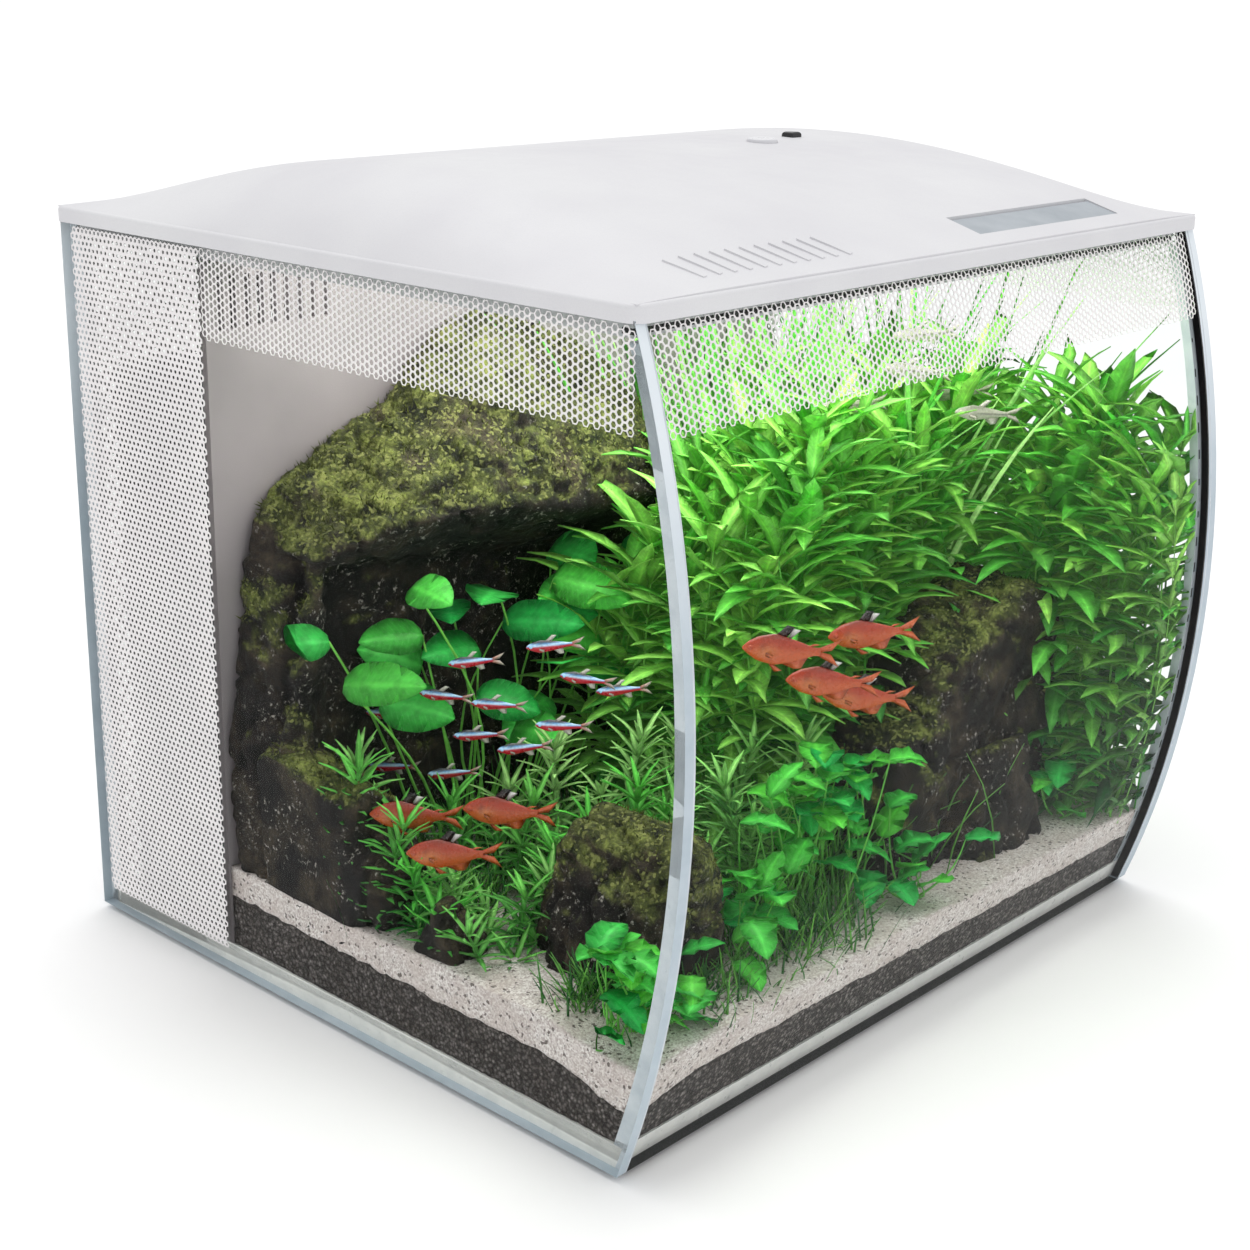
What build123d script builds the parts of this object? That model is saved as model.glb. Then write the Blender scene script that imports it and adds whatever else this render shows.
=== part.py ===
"""Bow-front glass aquarium with a domed lid, a rear filter compartment and a planted layout.

+X is to the right, the bowed front pane faces -Y and +Z is up. The origin is the centre of the
bounding box's footprint, on the surface that the tank stands on. All sizes are in millimetres.
"""

import os
from math import sqrt

from build123d import *

# ---------------------------------------------------------------- driving dimensions

TANK_WIDTH = 406.0  # over the outer faces of the side panes
TANK_BACK = 194.0  # outer face of the back pane
TANK_EDGE = -167.0  # outer face of the front pane along its top and bottom edges
BOW = 30.0  # how far the front pane bulges past those edges
GLASS = 5.0
BASE_GLASS = 6.0
MAT = 3.0
MAT_INSET = 5.0  # the mat stays this far inside the glass
GLASS_TOP = 352.0
JOINT = 1.0  # silicone between two panes
BEAD = 4.5  # silicone bead along an inner corner
FILM = 0.3  # screen-printed film on the outside of the glass

BAND_LOW = 310.0  # lower edge of the printed band round the top
STRIP_FRONT = 88.5  # front edge of the printed strip that hides the filter

DIVIDER_FRONT = 92.0
DIVIDER = 4.0
DIVIDER_TOP = 342.0
WALL = 3.0  # chamber walls
WALL_TOP = 300.0
WALL_LEFT = -66.0  # left faces of the two chamber walls
WALL_RIGHT = 62.0

LID_WIDTH = 410.0
LID_FRONT = -170.0
LID_BACK = 197.0
RIM_LOW = 351.0
RIM_TOP = 358.0
DOME_RISE = 30.0
DOME_FLAT = 140.0  # half width of the level middle of the dome
DOME_EDGE = 2.0  # from the rim's edge to the foot of the dome
SHELL = 2.5
SKIRT_LOW = 344.0
SKIRT_HALF = 196.4  # outer half width of the skirt inside the glass
SKIRT_INNER = 194.4
SKIRT_FRONT = -160.5
SKIRT_BACK = 188.0
TRAY_LOW = 353.0
TRAY = 2.0

DOOR_LEFT, DOOR_RIGHT = 30.0, 146.0
DOOR_FRONT, DOOR_HINGE = -157.0, -141.0
DOOR_THICK = 2.0
DOOR_RECESS = 0.6
DOOR_GAP = 0.4
PIN_RADIUS = 0.8
KNUCKLE = 1.7

BUTTON_X, BUTTON_Y = 66.0, -5.0
BUTTON_RADIUS = 7.5
SENSOR_X, SENSOR_Y = 98.0, 2.0
SENSOR = 7.0

LED_HALF = 150.0
LED_DEPTH = 36.0
LED_LOW = 341.0

SOIL_TOP = 33.0
SAND_TOP = 50.0

PUMP_Y, PUMP_Z = 140.0, 54.0  # axis of the impeller, along X
PUMP_FACE = 100.0  # joint between the pump's body and its cover
RISER_X = 92.0
MANIFOLD_Z = 318.0
NOZZLES = {"nozzle_left": 104.0, "nozzle_right": 170.0}
RUNNING = 0.05  # radial clearance of a turning fit

# ---------------------------------------------------------------- derived places

half_width = TANK_WIDTH / 2
inner_half = half_width - GLASS
pane_half = inner_half - JOINT
back_inner = TANK_BACK - GLASS
base_top = MAT + BASE_GLASS
bead_low = base_top + BEAD
bead_high = SKIRT_LOW - 1
glass_middle = (MAT + GLASS_TOP) / 2
bow_radius = ((GLASS_TOP - MAT) ** 2 / 4 + BOW**2) / (2 * BOW)
bow_centre = TANK_EDGE - BOW + bow_radius
divider_back = DIVIDER_FRONT + DIVIDER

dome_half = LID_WIDTH / 2 - DOME_EDGE
dome_front = LID_FRONT + DOME_EDGE
dome_back = LID_BACK - DOME_EDGE
dome_centre = (dome_front + dome_back) / 2
dome_radius = (((dome_back - dome_front) / 2) ** 2 + DOME_RISE**2) / (2 * DOME_RISE)

os.makedirs("parts", exist_ok=True)


# ---------------------------------------------------------------- shared shapes


def save(piece, name):
    """Label a finished piece and write it as its own node."""
    piece.part.label = name
    export_step(piece.part, f"parts/{name}.step")


def block(low, high, mode=Mode.ADD):
    """Box between two opposite corners, added to the part being built."""
    centre = tuple((a + b) / 2 for a, b in zip(low, high))
    with Locations(centre):
        return Box(*[b - a for a, b in zip(low, high)], mode=mode)


def tube(start, length, radius, direction, mode=Mode.ADD):
    """Round bar from `start` along `direction`, added to the part being built."""
    with Locations(Plane(origin=start, z_dir=direction).location):
        align = (Align.CENTER, Align.CENTER, Align.MIN)
        return Cylinder(radius, length, align=align, mode=mode)


def bow_y(z, inset=0.0):
    """Y of the bowed front at height z, `inset` behind the outer face of the glass."""
    return bow_centre - sqrt((bow_radius - inset) ** 2 - (z - glass_middle) ** 2)


def tank_slab(inset, low, high, back, half):
    """Solid that follows the bowed front, from -half to +half in X."""
    middle = (low + high) / 2
    with BuildPart() as slab:
        with BuildSketch(Plane.YZ.offset(-half)):
            with BuildLine():
                ThreePointArc(
                    (bow_y(low, inset), low), (bow_y(middle, inset), middle), (bow_y(high, inset), high)
                )
                Polyline((bow_y(high, inset), high), (back, high), (back, low), (bow_y(low, inset), low))
            make_face()
        extrude(amount=2 * half)
    return slab.part


def bow_strip(inset, depth, low, high, x_low, x_high):
    """Curved bar that follows the front pane: `depth` deep, starting `inset` behind its face."""
    middle = (low + high) / 2
    outer = [(bow_y(z, inset), z) for z in (low, middle, high)]
    inner = [(bow_y(z, inset + depth), z) for z in (high, middle, low)]
    with BuildPart() as strip:
        with BuildSketch(Plane.YZ.offset(x_low)):
            with BuildLine():
                ThreePointArc(*outer)
                Line(outer[2], inner[0])
                ThreePointArc(*inner)
                Line(inner[2], outer[0])
            make_face()
        extrude(amount=x_high - x_low)
    return strip.part


def dome_height(y):
    """Height of the dome above the rim along its middle."""
    return DOME_RISE - dome_radius + sqrt(dome_radius**2 - (y - dome_centre) ** 2)


def dome(inset, front, back, foot):
    """Domed solid, `inset` below the lid's outer surface, with its flat underside at z = foot."""
    half = dome_half - 3.6 * inset if inset > 0 else dome_half
    stations = 12
    with BuildPart() as crown:
        for i in range(stations + 1):
            y = front + (back - front) * i / stations
            top = RIM_TOP + max(dome_height(y) - inset, 0.8)
            rise = top - RIM_TOP
            reach = half - DOME_FLAT
            radius = (reach**2 + rise**2) / (2 * rise)
            knee = DOME_FLAT + reach / 2
            knee_z = top - radius + sqrt(radius**2 - (reach / 2) ** 2)
            with BuildSketch(Plane(origin=(0, y, 0), x_dir=(1, 0, 0), z_dir=(0, -1, 0))):
                with BuildLine():
                    Polyline((-half, RIM_TOP), (-half, foot), (half, foot), (half, RIM_TOP))
                    ThreePointArc((half, RIM_TOP), (knee, knee_z), (DOME_FLAT, top))
                    Line((DOME_FLAT, top), (-DOME_FLAT, top))
                    ThreePointArc((-DOME_FLAT, top), (-knee, knee_z), (-half, RIM_TOP))
                make_face()
        loft()
    return crown.part


# ---------------------------------------------------------------- glass tank

with BuildPart() as levelling_mat:
    add(tank_slab(MAT_INSET, 0, MAT, TANK_BACK - MAT_INSET, half_width - MAT_INSET))
save(levelling_mat, "levelling_mat")

with BuildPart() as base_pane:
    add(tank_slab(GLASS + JOINT, MAT, base_top, back_inner - JOINT, pane_half))
save(base_pane, "base_pane")

with BuildPart() as back_pane:
    block((-pane_half, back_inner, MAT), (pane_half, TANK_BACK, GLASS_TOP))
save(back_pane, "back_pane")

with BuildPart() as side_panes:
    add(tank_slab(0, MAT, GLASS_TOP, TANK_BACK, half_width))
    add(tank_slab(0, MAT - 1, GLASS_TOP + 1, TANK_BACK + 1, inner_half), mode=Mode.SUBTRACT)

for name, keep in (("left_pane", Keep.BOTTOM), ("right_pane", Keep.TOP)):
    with BuildPart() as side_pane:
        add(side_panes.part)
        split(bisect_by=Plane.YZ, keep=keep)
    save(side_pane, name)

with BuildPart() as front_pane:
    add(bow_strip(0, GLASS, MAT, GLASS_TOP, -pane_half, pane_half))
save(front_pane, "front_pane")


# ---------------------------------------------------------------- silicone

bead_half = inner_half - BEAD
seals = {}
for side, sign in (("left", -1), ("right", 1)):
    joint_x = sorted((sign * pane_half, sign * inner_half))
    bead_x = sorted((sign * bead_half, sign * inner_half))
    with BuildPart() as front_seal:
        add(bow_strip(0, GLASS, MAT, GLASS_TOP, *joint_x))
        add(bow_strip(GLASS, BEAD, bead_low, bead_high, *bead_x))
    seals[f"seal_front_{side}"] = front_seal
    with BuildPart() as back_seal:
        block((joint_x[0], back_inner, MAT), (joint_x[1], TANK_BACK, GLASS_TOP))
        block((bead_x[0], back_inner - BEAD, bead_low), (bead_x[1], back_inner, bead_high))
    seals[f"seal_back_{side}"] = back_seal

with BuildPart() as seal_base:
    add(tank_slab(GLASS, MAT, bead_low, back_inner, inner_half))
    add(tank_slab(GLASS + BEAD, base_top, bead_low + 1, back_inner - BEAD, bead_half), mode=Mode.SUBTRACT)
    add(base_pane.part, mode=Mode.SUBTRACT)
seals["seal_base"] = seal_base

for name, seal in seals.items():
    save(seal, name)


# ---------------------------------------------------------------- printed films

film_top = GLASS_TOP - 0.6
with BuildPart() as print_front:
    add(bow_strip(-FILM, FILM, BAND_LOW, film_top, -pane_half, pane_half))
save(print_front, "print_front")

with BuildPart() as print_back:
    block((-pane_half, TANK_BACK, base_top), (pane_half, TANK_BACK + FILM, film_top))
save(print_back, "print_back")

with BuildPart() as side_films:
    add(tank_slab(GLASS, BAND_LOW, film_top, back_inner, half_width + FILM))
    block(
        (-half_width - FILM, STRIP_FRONT, base_top + BEAD),
        (half_width + FILM, back_inner, film_top),
    )
    block((-half_width, -300, 0), (half_width, 300, 400), mode=Mode.SUBTRACT)

for name, keep in (("print_left", Keep.BOTTOM), ("print_right", Keep.TOP)):
    with BuildPart() as side_film:
        add(side_films.part)
        split(bisect_by=Plane.YZ, keep=keep)
    save(side_film, name)


# ---------------------------------------------------------------- divider and chamber walls

SLOT = 3.6
SLOT_PITCH = 7.5
SLOT_COUNT = 9
SLOT_LOW, SLOT_HIGH = 312.0, 336.0
slot_centre = (-160.0, DIVIDER_FRONT + DIVIDER / 2, (SLOT_LOW + SLOT_HIGH) / 2)
nozzle_hole = 7.2

with BuildPart() as divider_panel:
    block((-inner_half, DIVIDER_FRONT, base_top), (inner_half, divider_back, DIVIDER_TOP))
    add(seal_base.part, mode=Mode.SUBTRACT)
    with Locations(slot_centre):
        with GridLocations(SLOT_PITCH, 1, SLOT_COUNT, 1):
            Box(SLOT, 2 * DIVIDER, SLOT_HIGH - SLOT_LOW, mode=Mode.SUBTRACT)
    for x in NOZZLES.values():
        tube((x, DIVIDER_FRONT - 1, MANIFOLD_Z), DIVIDER + 2, nozzle_hole, (0, 1, 0), Mode.SUBTRACT)
save(divider_panel, "divider_panel")

for name, left in (("chamber_wall_left", WALL_LEFT), ("chamber_wall_right", WALL_RIGHT)):
    with BuildPart() as chamber_wall:
        block((left, divider_back, base_top), (left + WALL, back_inner, WALL_TOP))
        block((left - 1, 112, 22), (left + WALL + 1, 174, 62), mode=Mode.SUBTRACT)
        add(seal_base.part, mode=Mode.SUBTRACT)
    save(chamber_wall, name)


# ---------------------------------------------------------------- foam filter

FOAM_LOW, FOAM_HIGH = 12.0, 285.0
FOAM_X, FOAM_Y = -130.0, 142.5
ROD = 10.0

with BuildPart() as foam_block:
    block((-190, 100, FOAM_LOW), (-70, 184, FOAM_HIGH))
    fillet(foam_block.edges().filter_by(Axis.Z), 6)
    with Locations((FOAM_X, FOAM_Y, (FOAM_LOW + FOAM_HIGH) / 2)):
        Box(ROD + 0.4, ROD + 0.4, FOAM_HIGH, mode=Mode.SUBTRACT)
save(foam_block, "foam_block")

with BuildPart() as foam_handle:
    block((FOAM_X - 50, FOAM_Y - 32, base_top), (FOAM_X + 50, FOAM_Y + 32, FOAM_LOW))
    fillet(foam_handle.edges().filter_by(Axis.Z), 8)
    block((FOAM_X - ROD / 2, FOAM_Y - ROD / 2, FOAM_LOW), (FOAM_X + ROD / 2, FOAM_Y + ROD / 2, 290))
    with BuildSketch(Plane.XZ.offset(-FOAM_Y - 4)):
        with Locations((FOAM_X, 307)):
            RectangleRounded(46, 38, 9)
            RectangleRounded(34, 26, 6, mode=Mode.SUBTRACT)
    extrude(amount=8)
save(foam_handle, "foam_handle")


# ---------------------------------------------------------------- media basket

BASKET_LOW = (-58.0, 102.0, 20.0)
BASKET_HIGH = (57.0, 184.0, 300.0)
BASKET_WALL = 2.0
basket_x = (BASKET_LOW[0] + BASKET_HIGH[0]) / 2
basket_y = (BASKET_LOW[1] + BASKET_HIGH[1]) / 2
bail_z = 290.0
BAIL_PIN = 2.0

with BuildPart() as media_basket:
    block(BASKET_LOW, BASKET_HIGH)
    fillet(media_basket.edges().filter_by(Axis.Z), 4)
    with Locations((basket_x, basket_y, (BASKET_LOW[2] + BASKET_HIGH[2]) / 2 + BASKET_WALL)):
        Box(
            BASKET_HIGH[0] - BASKET_LOW[0] - 2 * BASKET_WALL,
            BASKET_HIGH[1] - BASKET_LOW[1] - 2 * BASKET_WALL,
            BASKET_HIGH[2] - BASKET_LOW[2],
            mode=Mode.SUBTRACT,
        )
    with Locations((basket_x, basket_y, BASKET_LOW[2])):
        with GridLocations(9, 1, 11, 1):
            Box(3, 64, 3 * BASKET_WALL, mode=Mode.SUBTRACT)
    with Locations((basket_x, basket_y, (base_top + BASKET_LOW[2]) / 2)):
        with GridLocations(96, 64, 2, 2):
            Box(10, 10, BASKET_LOW[2] - base_top)
    for x in (BASKET_LOW[0] - 1, BASKET_HIGH[0] - BASKET_WALL - 1):
        tube((x, basket_y, bail_z), BASKET_WALL + 2, BAIL_PIN + RUNNING, (1, 0, 0), Mode.SUBTRACT)
save(media_basket, "media_basket")

bail_half = (BASKET_HIGH[0] - BASKET_LOW[0]) / 2 - BASKET_WALL - 0.6
with BuildPart() as basket_handle:
    with BuildSketch(Plane.XY.offset(bail_z - 2.5)):
        with Locations((basket_x, basket_y + 16)):
            Rectangle(2 * bail_half, 38)
        with Locations((basket_x, basket_y + 13)):
            Rectangle(2 * bail_half - 7, 38, mode=Mode.SUBTRACT)
    extrude(amount=5)
    for sign in (-1, 1):
        tube((basket_x + sign * (bail_half - 1), basket_y, bail_z), 2.8, BAIL_PIN, (sign, 0, 0))
save(basket_handle, "basket_handle")

with BuildPart() as ceramic_rings:
    for z in (29, 43.2):
        with Locations((basket_x, basket_y, z)):
            with GridLocations(16, 17, 6, 4):
                Cylinder(7, 14)
                Cylinder(3.5, 14, mode=Mode.SUBTRACT)
save(ceramic_rings, "ceramic_rings")

with BuildPart() as carbon_bag:
    block((-52, 108, 51), (51, 178, 119))
    fillet(carbon_bag.edges(), 12)
save(carbon_bag, "carbon_bag")


# ---------------------------------------------------------------- pump

with BuildPart() as pump_body:
    block((PUMP_FACE, PUMP_Y - 26, 16), (160, PUMP_Y + 26, 92))
    fillet(pump_body.edges().filter_by(Axis.X), 8)
    tube((PUMP_FACE - 1, PUMP_Y, PUMP_Z), 29, 8.5, (1, 0, 0), Mode.SUBTRACT)
    tube((128, PUMP_Y, PUMP_Z), 4, 1.5, (1, 0, 0), Mode.SUBTRACT)
save(pump_body, "pump_body")

with BuildPart() as pump_cover:
    block((84, PUMP_Y - 22, 22), (PUMP_FACE, PUMP_Y + 22, 92))
    fillet(pump_cover.edges().filter_by(Axis.X), 8)
    tube((RISER_X, PUMP_Y, 91), 13, 7.5, (0, 0, 1))
    tube((88, PUMP_Y, PUMP_Z), 13, 16, (1, 0, 0), Mode.SUBTRACT)
    tube((RISER_X, PUMP_Y, PUMP_Z), 60, 3.8, (0, 0, 1), Mode.SUBTRACT)
    tube((86, PUMP_Y, PUMP_Z), 3, 1.5, (1, 0, 0), Mode.SUBTRACT)
    with Locations(Plane(origin=(86, PUMP_Y, PUMP_Z), z_dir=(1, 0, 0)).location):
        with PolarLocations(9, 8):
            Cylinder(2.4, 6, mode=Mode.SUBTRACT)
save(pump_cover, "pump_cover")

with BuildPart() as impeller:
    tube((102, PUMP_Y, PUMP_Z), 24, 7.6, (1, 0, 0))
    tube((90, PUMP_Y, PUMP_Z), 12, 4, (1, 0, 0))
    with Locations(Plane(origin=(94.5, PUMP_Y, PUMP_Z), z_dir=(1, 0, 0)).location):
        with PolarLocations(8, 6):
            Box(10, 1.5, 9)
    tube((89, PUMP_Y, PUMP_Z), 40, 1.5 + RUNNING, (1, 0, 0), Mode.SUBTRACT)
save(impeller, "impeller")

with BuildPart() as impeller_shaft:
    tube((86, PUMP_Y, PUMP_Z), 46, 1.5, (1, 0, 0))
save(impeller_shaft, "impeller_shaft")

with BuildPart() as pump_feet:
    with Locations((130, PUMP_Y, base_top)):
        with GridLocations(40, 34, 2, 2):
            Cone(7, 3, 5, align=(Align.CENTER, Align.CENTER, Align.MIN))
    with Locations((130, PUMP_Y, base_top + 4)):
        with GridLocations(40, 34, 2, 2):
            Cylinder(2.5, 3, align=(Align.CENTER, Align.CENTER, Align.MIN))
save(pump_feet, "pump_feet")

with BuildPart() as riser_tube:
    tube((RISER_X, PUMP_Y, 93), 203, 9.5, (0, 0, 1))
    tube((RISER_X, PUMP_Y, 92), 205, 7.5, (0, 0, 1), Mode.SUBTRACT)
save(riser_tube, "riser_tube")

with BuildPart() as outlet_manifold:
    tube((RISER_X - 14, PUMP_Y, MANIFOLD_Z), 104, 11, (1, 0, 0))
    tube((RISER_X, PUMP_Y, 284), MANIFOLD_Z - 284, 7.5, (0, 0, 1))
    for x in NOZZLES.values():
        tube((x, PUMP_Y, MANIFOLD_Z), PUMP_Y - divider_back, 10, (0, -1, 0))
    tube((RISER_X - 11, PUMP_Y, MANIFOLD_Z), 98, 7, (1, 0, 0), Mode.SUBTRACT)
    tube((RISER_X, PUMP_Y, 283), MANIFOLD_Z - 283, 5.5, (0, 0, 1), Mode.SUBTRACT)
    for x in NOZZLES.values():
        tube((x, PUMP_Y, MANIFOLD_Z), 60, 7, (0, -1, 0), Mode.SUBTRACT)
save(outlet_manifold, "outlet_manifold")

for name, x in NOZZLES.items():
    with BuildPart() as nozzle:
        tube((x, 112, MANIFOLD_Z), 24, 7 - RUNNING, (0, -1, 0))
        tube((x, 91.5, MANIFOLD_Z), 3.5, 10, (0, -1, 0))
        tube((x, 113, MANIFOLD_Z), 26, 5, (0, -1, 0), Mode.SUBTRACT)
        with BuildLine():
            bend = RadiusArc((x, 88, MANIFOLD_Z), (x, 76, MANIFOLD_Z - 5), 16)
        with BuildSketch(Plane(origin=(x, 88, MANIFOLD_Z), z_dir=(0, -1, 0))):
            Circle(7.5)
            Circle(5, mode=Mode.SUBTRACT)
        sweep(path=bend)
    save(nozzle, name)


# ---------------------------------------------------------------- lid shell

door_opening = (DOOR_LEFT - DOOR_GAP, DOOR_RIGHT + DOOR_GAP)
hinge_z = RIM_TOP + dome_height(DOOR_HINGE) - DOOR_RECESS - KNUCKLE
pin_start = (DOOR_LEFT - 4, DOOR_HINGE, hinge_z)
pin_length = DOOR_RIGHT - DOOR_LEFT + 8
boss_places = [(x, y) for x in (-150, 0, 150) for y in (-118, 150)]
dome_body = dome(0, dome_front, dome_back, RIM_TOP - 0.5)
dome_void = dome(SHELL, SKIRT_FRONT + 2, SKIRT_BACK - 2, RIM_TOP - 1)

with BuildPart() as lid_bosses:
    for x, y in boss_places:
        tube((x, y, TRAY_LOW + TRAY), 60, 4, (0, 0, 1))
    add(dome_body, mode=Mode.INTERSECT)
    for x, y in boss_places:
        tube((x, y, TRAY_LOW + TRAY), RIM_TOP - TRAY_LOW - TRAY, 4, (0, 0, 1))
        tube((x, y, TRAY_LOW), 9, 1.3, (0, 0, 1), Mode.SUBTRACT)

with BuildPart() as vent_ribs:
    with Locations((-111, -149, RIM_TOP)):
        with GridLocations(9, 1, 11, 1):
            Box(2.4, 18, 40, rotation=(0, 0, 12))
    add(dome(-0.8, dome_front, dome_back, RIM_TOP - 0.5), mode=Mode.INTERSECT)
    add(dome_body, mode=Mode.SUBTRACT)

with BuildPart() as lid_shell:
    with BuildSketch(Plane.XY.offset(RIM_LOW)):
        with Locations((0, (LID_FRONT + LID_BACK) / 2)):
            RectangleRounded(LID_WIDTH, LID_BACK - LID_FRONT, 7)
    extrude(amount=RIM_TOP - RIM_LOW)
    fillet(lid_shell.faces().sort_by(Axis.Z)[-1].edges(), 1.8)
    block((-SKIRT_HALF, SKIRT_FRONT, SKIRT_LOW), (SKIRT_HALF, SKIRT_BACK, RIM_TOP))
    add(dome_body)
    block(
        (-SKIRT_INNER, SKIRT_FRONT + 2, SKIRT_LOW - 1),
        (SKIRT_INNER, SKIRT_BACK - 2, RIM_TOP - 0.5),
        Mode.SUBTRACT,
    )
    add(dome_void, mode=Mode.SUBTRACT)
    with BuildSketch(Plane.XY.offset(RIM_LOW)):
        with BuildLine():
            Polyline(
                (-203.7, -167.8), (203.7, -167.8), (203.7, 194.7), (-203.7, 194.7), close=True
            )
        make_face()
        with Locations((0, (SKIRT_FRONT + SKIRT_BACK) / 2)):
            Rectangle(2 * SKIRT_HALF, SKIRT_BACK - SKIRT_FRONT, mode=Mode.SUBTRACT)
    extrude(amount=GLASS_TOP - RIM_LOW, mode=Mode.SUBTRACT)
    add(lid_bosses.part)
    add(vent_ribs.part)
    # Feed opening, the groove of its hinge and the holes that hold the hinge pin
    block((door_opening[0], DOOR_FRONT - DOOR_GAP, 340), (door_opening[1], DOOR_HINGE, 400), Mode.SUBTRACT)
    tube(
        (door_opening[0], DOOR_HINGE, hinge_z),
        door_opening[1] - door_opening[0],
        KNUCKLE + DOOR_GAP,
        (1, 0, 0),
        Mode.SUBTRACT,
    )
    block(
        (door_opening[0], DOOR_HINGE - 1, hinge_z),
        (door_opening[1], DOOR_HINGE + KNUCKLE + DOOR_GAP, 400),
        Mode.SUBTRACT,
    )
    tube(pin_start, pin_length, PIN_RADIUS, (1, 0, 0), Mode.SUBTRACT)
    # Button, sensor and cable outlet
    tube((BUTTON_X, BUTTON_Y, 370), 40, BUTTON_RADIUS + 0.2, (0, 0, 1), Mode.SUBTRACT)
    with Locations((SENSOR_X, SENSOR_Y, 385)):
        Box(SENSOR + 0.2, SENSOR + 0.2, 30, mode=Mode.SUBTRACT)
    block((150, 184, SKIRT_LOW - 1), (178, LID_BACK + 1, 357.2), Mode.SUBTRACT)
save(lid_shell, "lid_shell")


# ---------------------------------------------------------------- feed door

with BuildPart() as feed_door:
    add(dome(DOOR_RECESS, dome_front, dome_back, RIM_TOP - 0.5))
    add(dome(DOOR_RECESS + DOOR_THICK, dome_front, dome_back, RIM_TOP - 2), mode=Mode.SUBTRACT)
    block((DOOR_LEFT, DOOR_FRONT, RIM_TOP - 1), (DOOR_RIGHT, DOOR_HINGE, 400), Mode.INTERSECT)
    tube((DOOR_LEFT, DOOR_HINGE, hinge_z), DOOR_RIGHT - DOOR_LEFT, KNUCKLE, (1, 0, 0))
    tube(pin_start, pin_length, PIN_RADIUS + RUNNING, (1, 0, 0), Mode.SUBTRACT)
save(feed_door, "feed_door")

with BuildPart() as hinge_pin:
    tube(pin_start, pin_length, PIN_RADIUS, (1, 0, 0))
save(hinge_pin, "hinge_pin")


# ---------------------------------------------------------------- lid fittings

button_z = RIM_TOP + DOME_RISE
with BuildPart() as power_button:
    tube((BUTTON_X, BUTTON_Y, button_z - 4.2), 5.6, BUTTON_RADIUS, (0, 0, 1))
    fillet(power_button.edges().sort_by(Axis.Z)[-1], 0.8)
    tube((BUTTON_X, BUTTON_Y, button_z - 5.7), 1.6, BUTTON_RADIUS + 1.8, (0, 0, 1))
save(power_button, "power_button")

with BuildPart() as sensor_window:
    with Locations((SENSOR_X, SENSOR_Y, button_z - 1)):
        Box(SENSOR, SENSOR, 6.8)
    fillet(sensor_window.edges().group_by(Axis.Z)[-1], 1.6)
save(sensor_window, "sensor_window")

BOARD_Z = 375.0
with BuildPart() as control_board:
    block((48, -24, BOARD_Z), (120, 24, BOARD_Z + 1.6))
    block((BUTTON_X - 3, BUTTON_Y - 3, BOARD_Z + 1.6), (BUTTON_X + 3, BUTTON_Y + 3, 381))
    block((SENSOR_X - 3, SENSOR_Y - 3, BOARD_Z + 1.6), (SENSOR_X + 3, SENSOR_Y + 3, button_z - 4.4))
save(control_board, "control_board")

tray_half = SKIRT_INNER - 0.4
with BuildPart() as lid_tray:
    block((-tray_half, SKIRT_FRONT + 2.4, TRAY_LOW), (tray_half, SKIRT_BACK - 2.4, TRAY_LOW + TRAY))
    block(
        (DOOR_LEFT - 1, SKIRT_FRONT, TRAY_LOW - 1),
        (DOOR_RIGHT + 1, DOOR_HINGE + 4, TRAY_LOW + TRAY + 1),
        Mode.SUBTRACT,
    )
    block((146, 178, TRAY_LOW - 1), (182, SKIRT_BACK, TRAY_LOW + TRAY + 1), Mode.SUBTRACT)
    for x in (54, 114):
        tube((x, 0, TRAY_LOW + TRAY), BOARD_Z - TRAY_LOW - TRAY, 3, (0, 0, 1))
    for x, y in boss_places:
        tube((x, y, TRAY_LOW - 1), TRAY + 2, 1.6, (0, 0, 1), Mode.SUBTRACT)
save(lid_tray, "lid_tray")

with BuildPart() as lid_screws:
    for x, y in boss_places:
        tube((x, y, TRAY_LOW - 2), 2, 3, (0, 0, 1))
        tube((x, y, TRAY_LOW - 0.5), 8, 1.2, (0, 0, 1))
save(lid_screws, "lid_screws")

half_depth = LED_DEPTH / 2
pocket_half = LED_HALF - 3
with BuildPart() as led_housing:
    block((-LED_HALF, -half_depth, LED_LOW), (LED_HALF, half_depth, TRAY_LOW))
    fillet(led_housing.edges().filter_by(Axis.Z), 5)
    block(
        (-pocket_half, -half_depth + 3, LED_LOW - 1),
        (pocket_half, half_depth - 3, LED_LOW + 8),
        Mode.SUBTRACT,
    )
save(led_housing, "led_housing")

with BuildPart() as led_board:
    block((-LED_HALF + 4, -half_depth + 4, LED_LOW + 6.4), (LED_HALF - 4, half_depth - 4, LED_LOW + 8))
save(led_board, "led_board")

with BuildPart() as led_chips:
    with Locations((0, 0, LED_LOW + 5.8)):
        with GridLocations(19, 14, 15, 2):
            Box(5, 5, 1.2)
save(led_chips, "led_chips")

with BuildPart() as led_lens:
    block((-LED_HALF + 3.2, -half_depth + 3.2, LED_LOW), (LED_HALF - 3.2, half_depth - 3.2, LED_LOW + 2))
save(led_lens, "led_lens")


# ---------------------------------------------------------------- substrate

for name, low, high in (("soil_layer", base_top, SOIL_TOP), ("sand_layer", SOIL_TOP, SAND_TOP)):
    with BuildPart() as substrate:
        add(tank_slab(GLASS, low, high, DIVIDER_FRONT, inner_half))
        for seal in seals.values():
            add(seal.part, mode=Mode.SUBTRACT)
    save(substrate, name)


# ---------------------------------------------------------------- rocks


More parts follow.
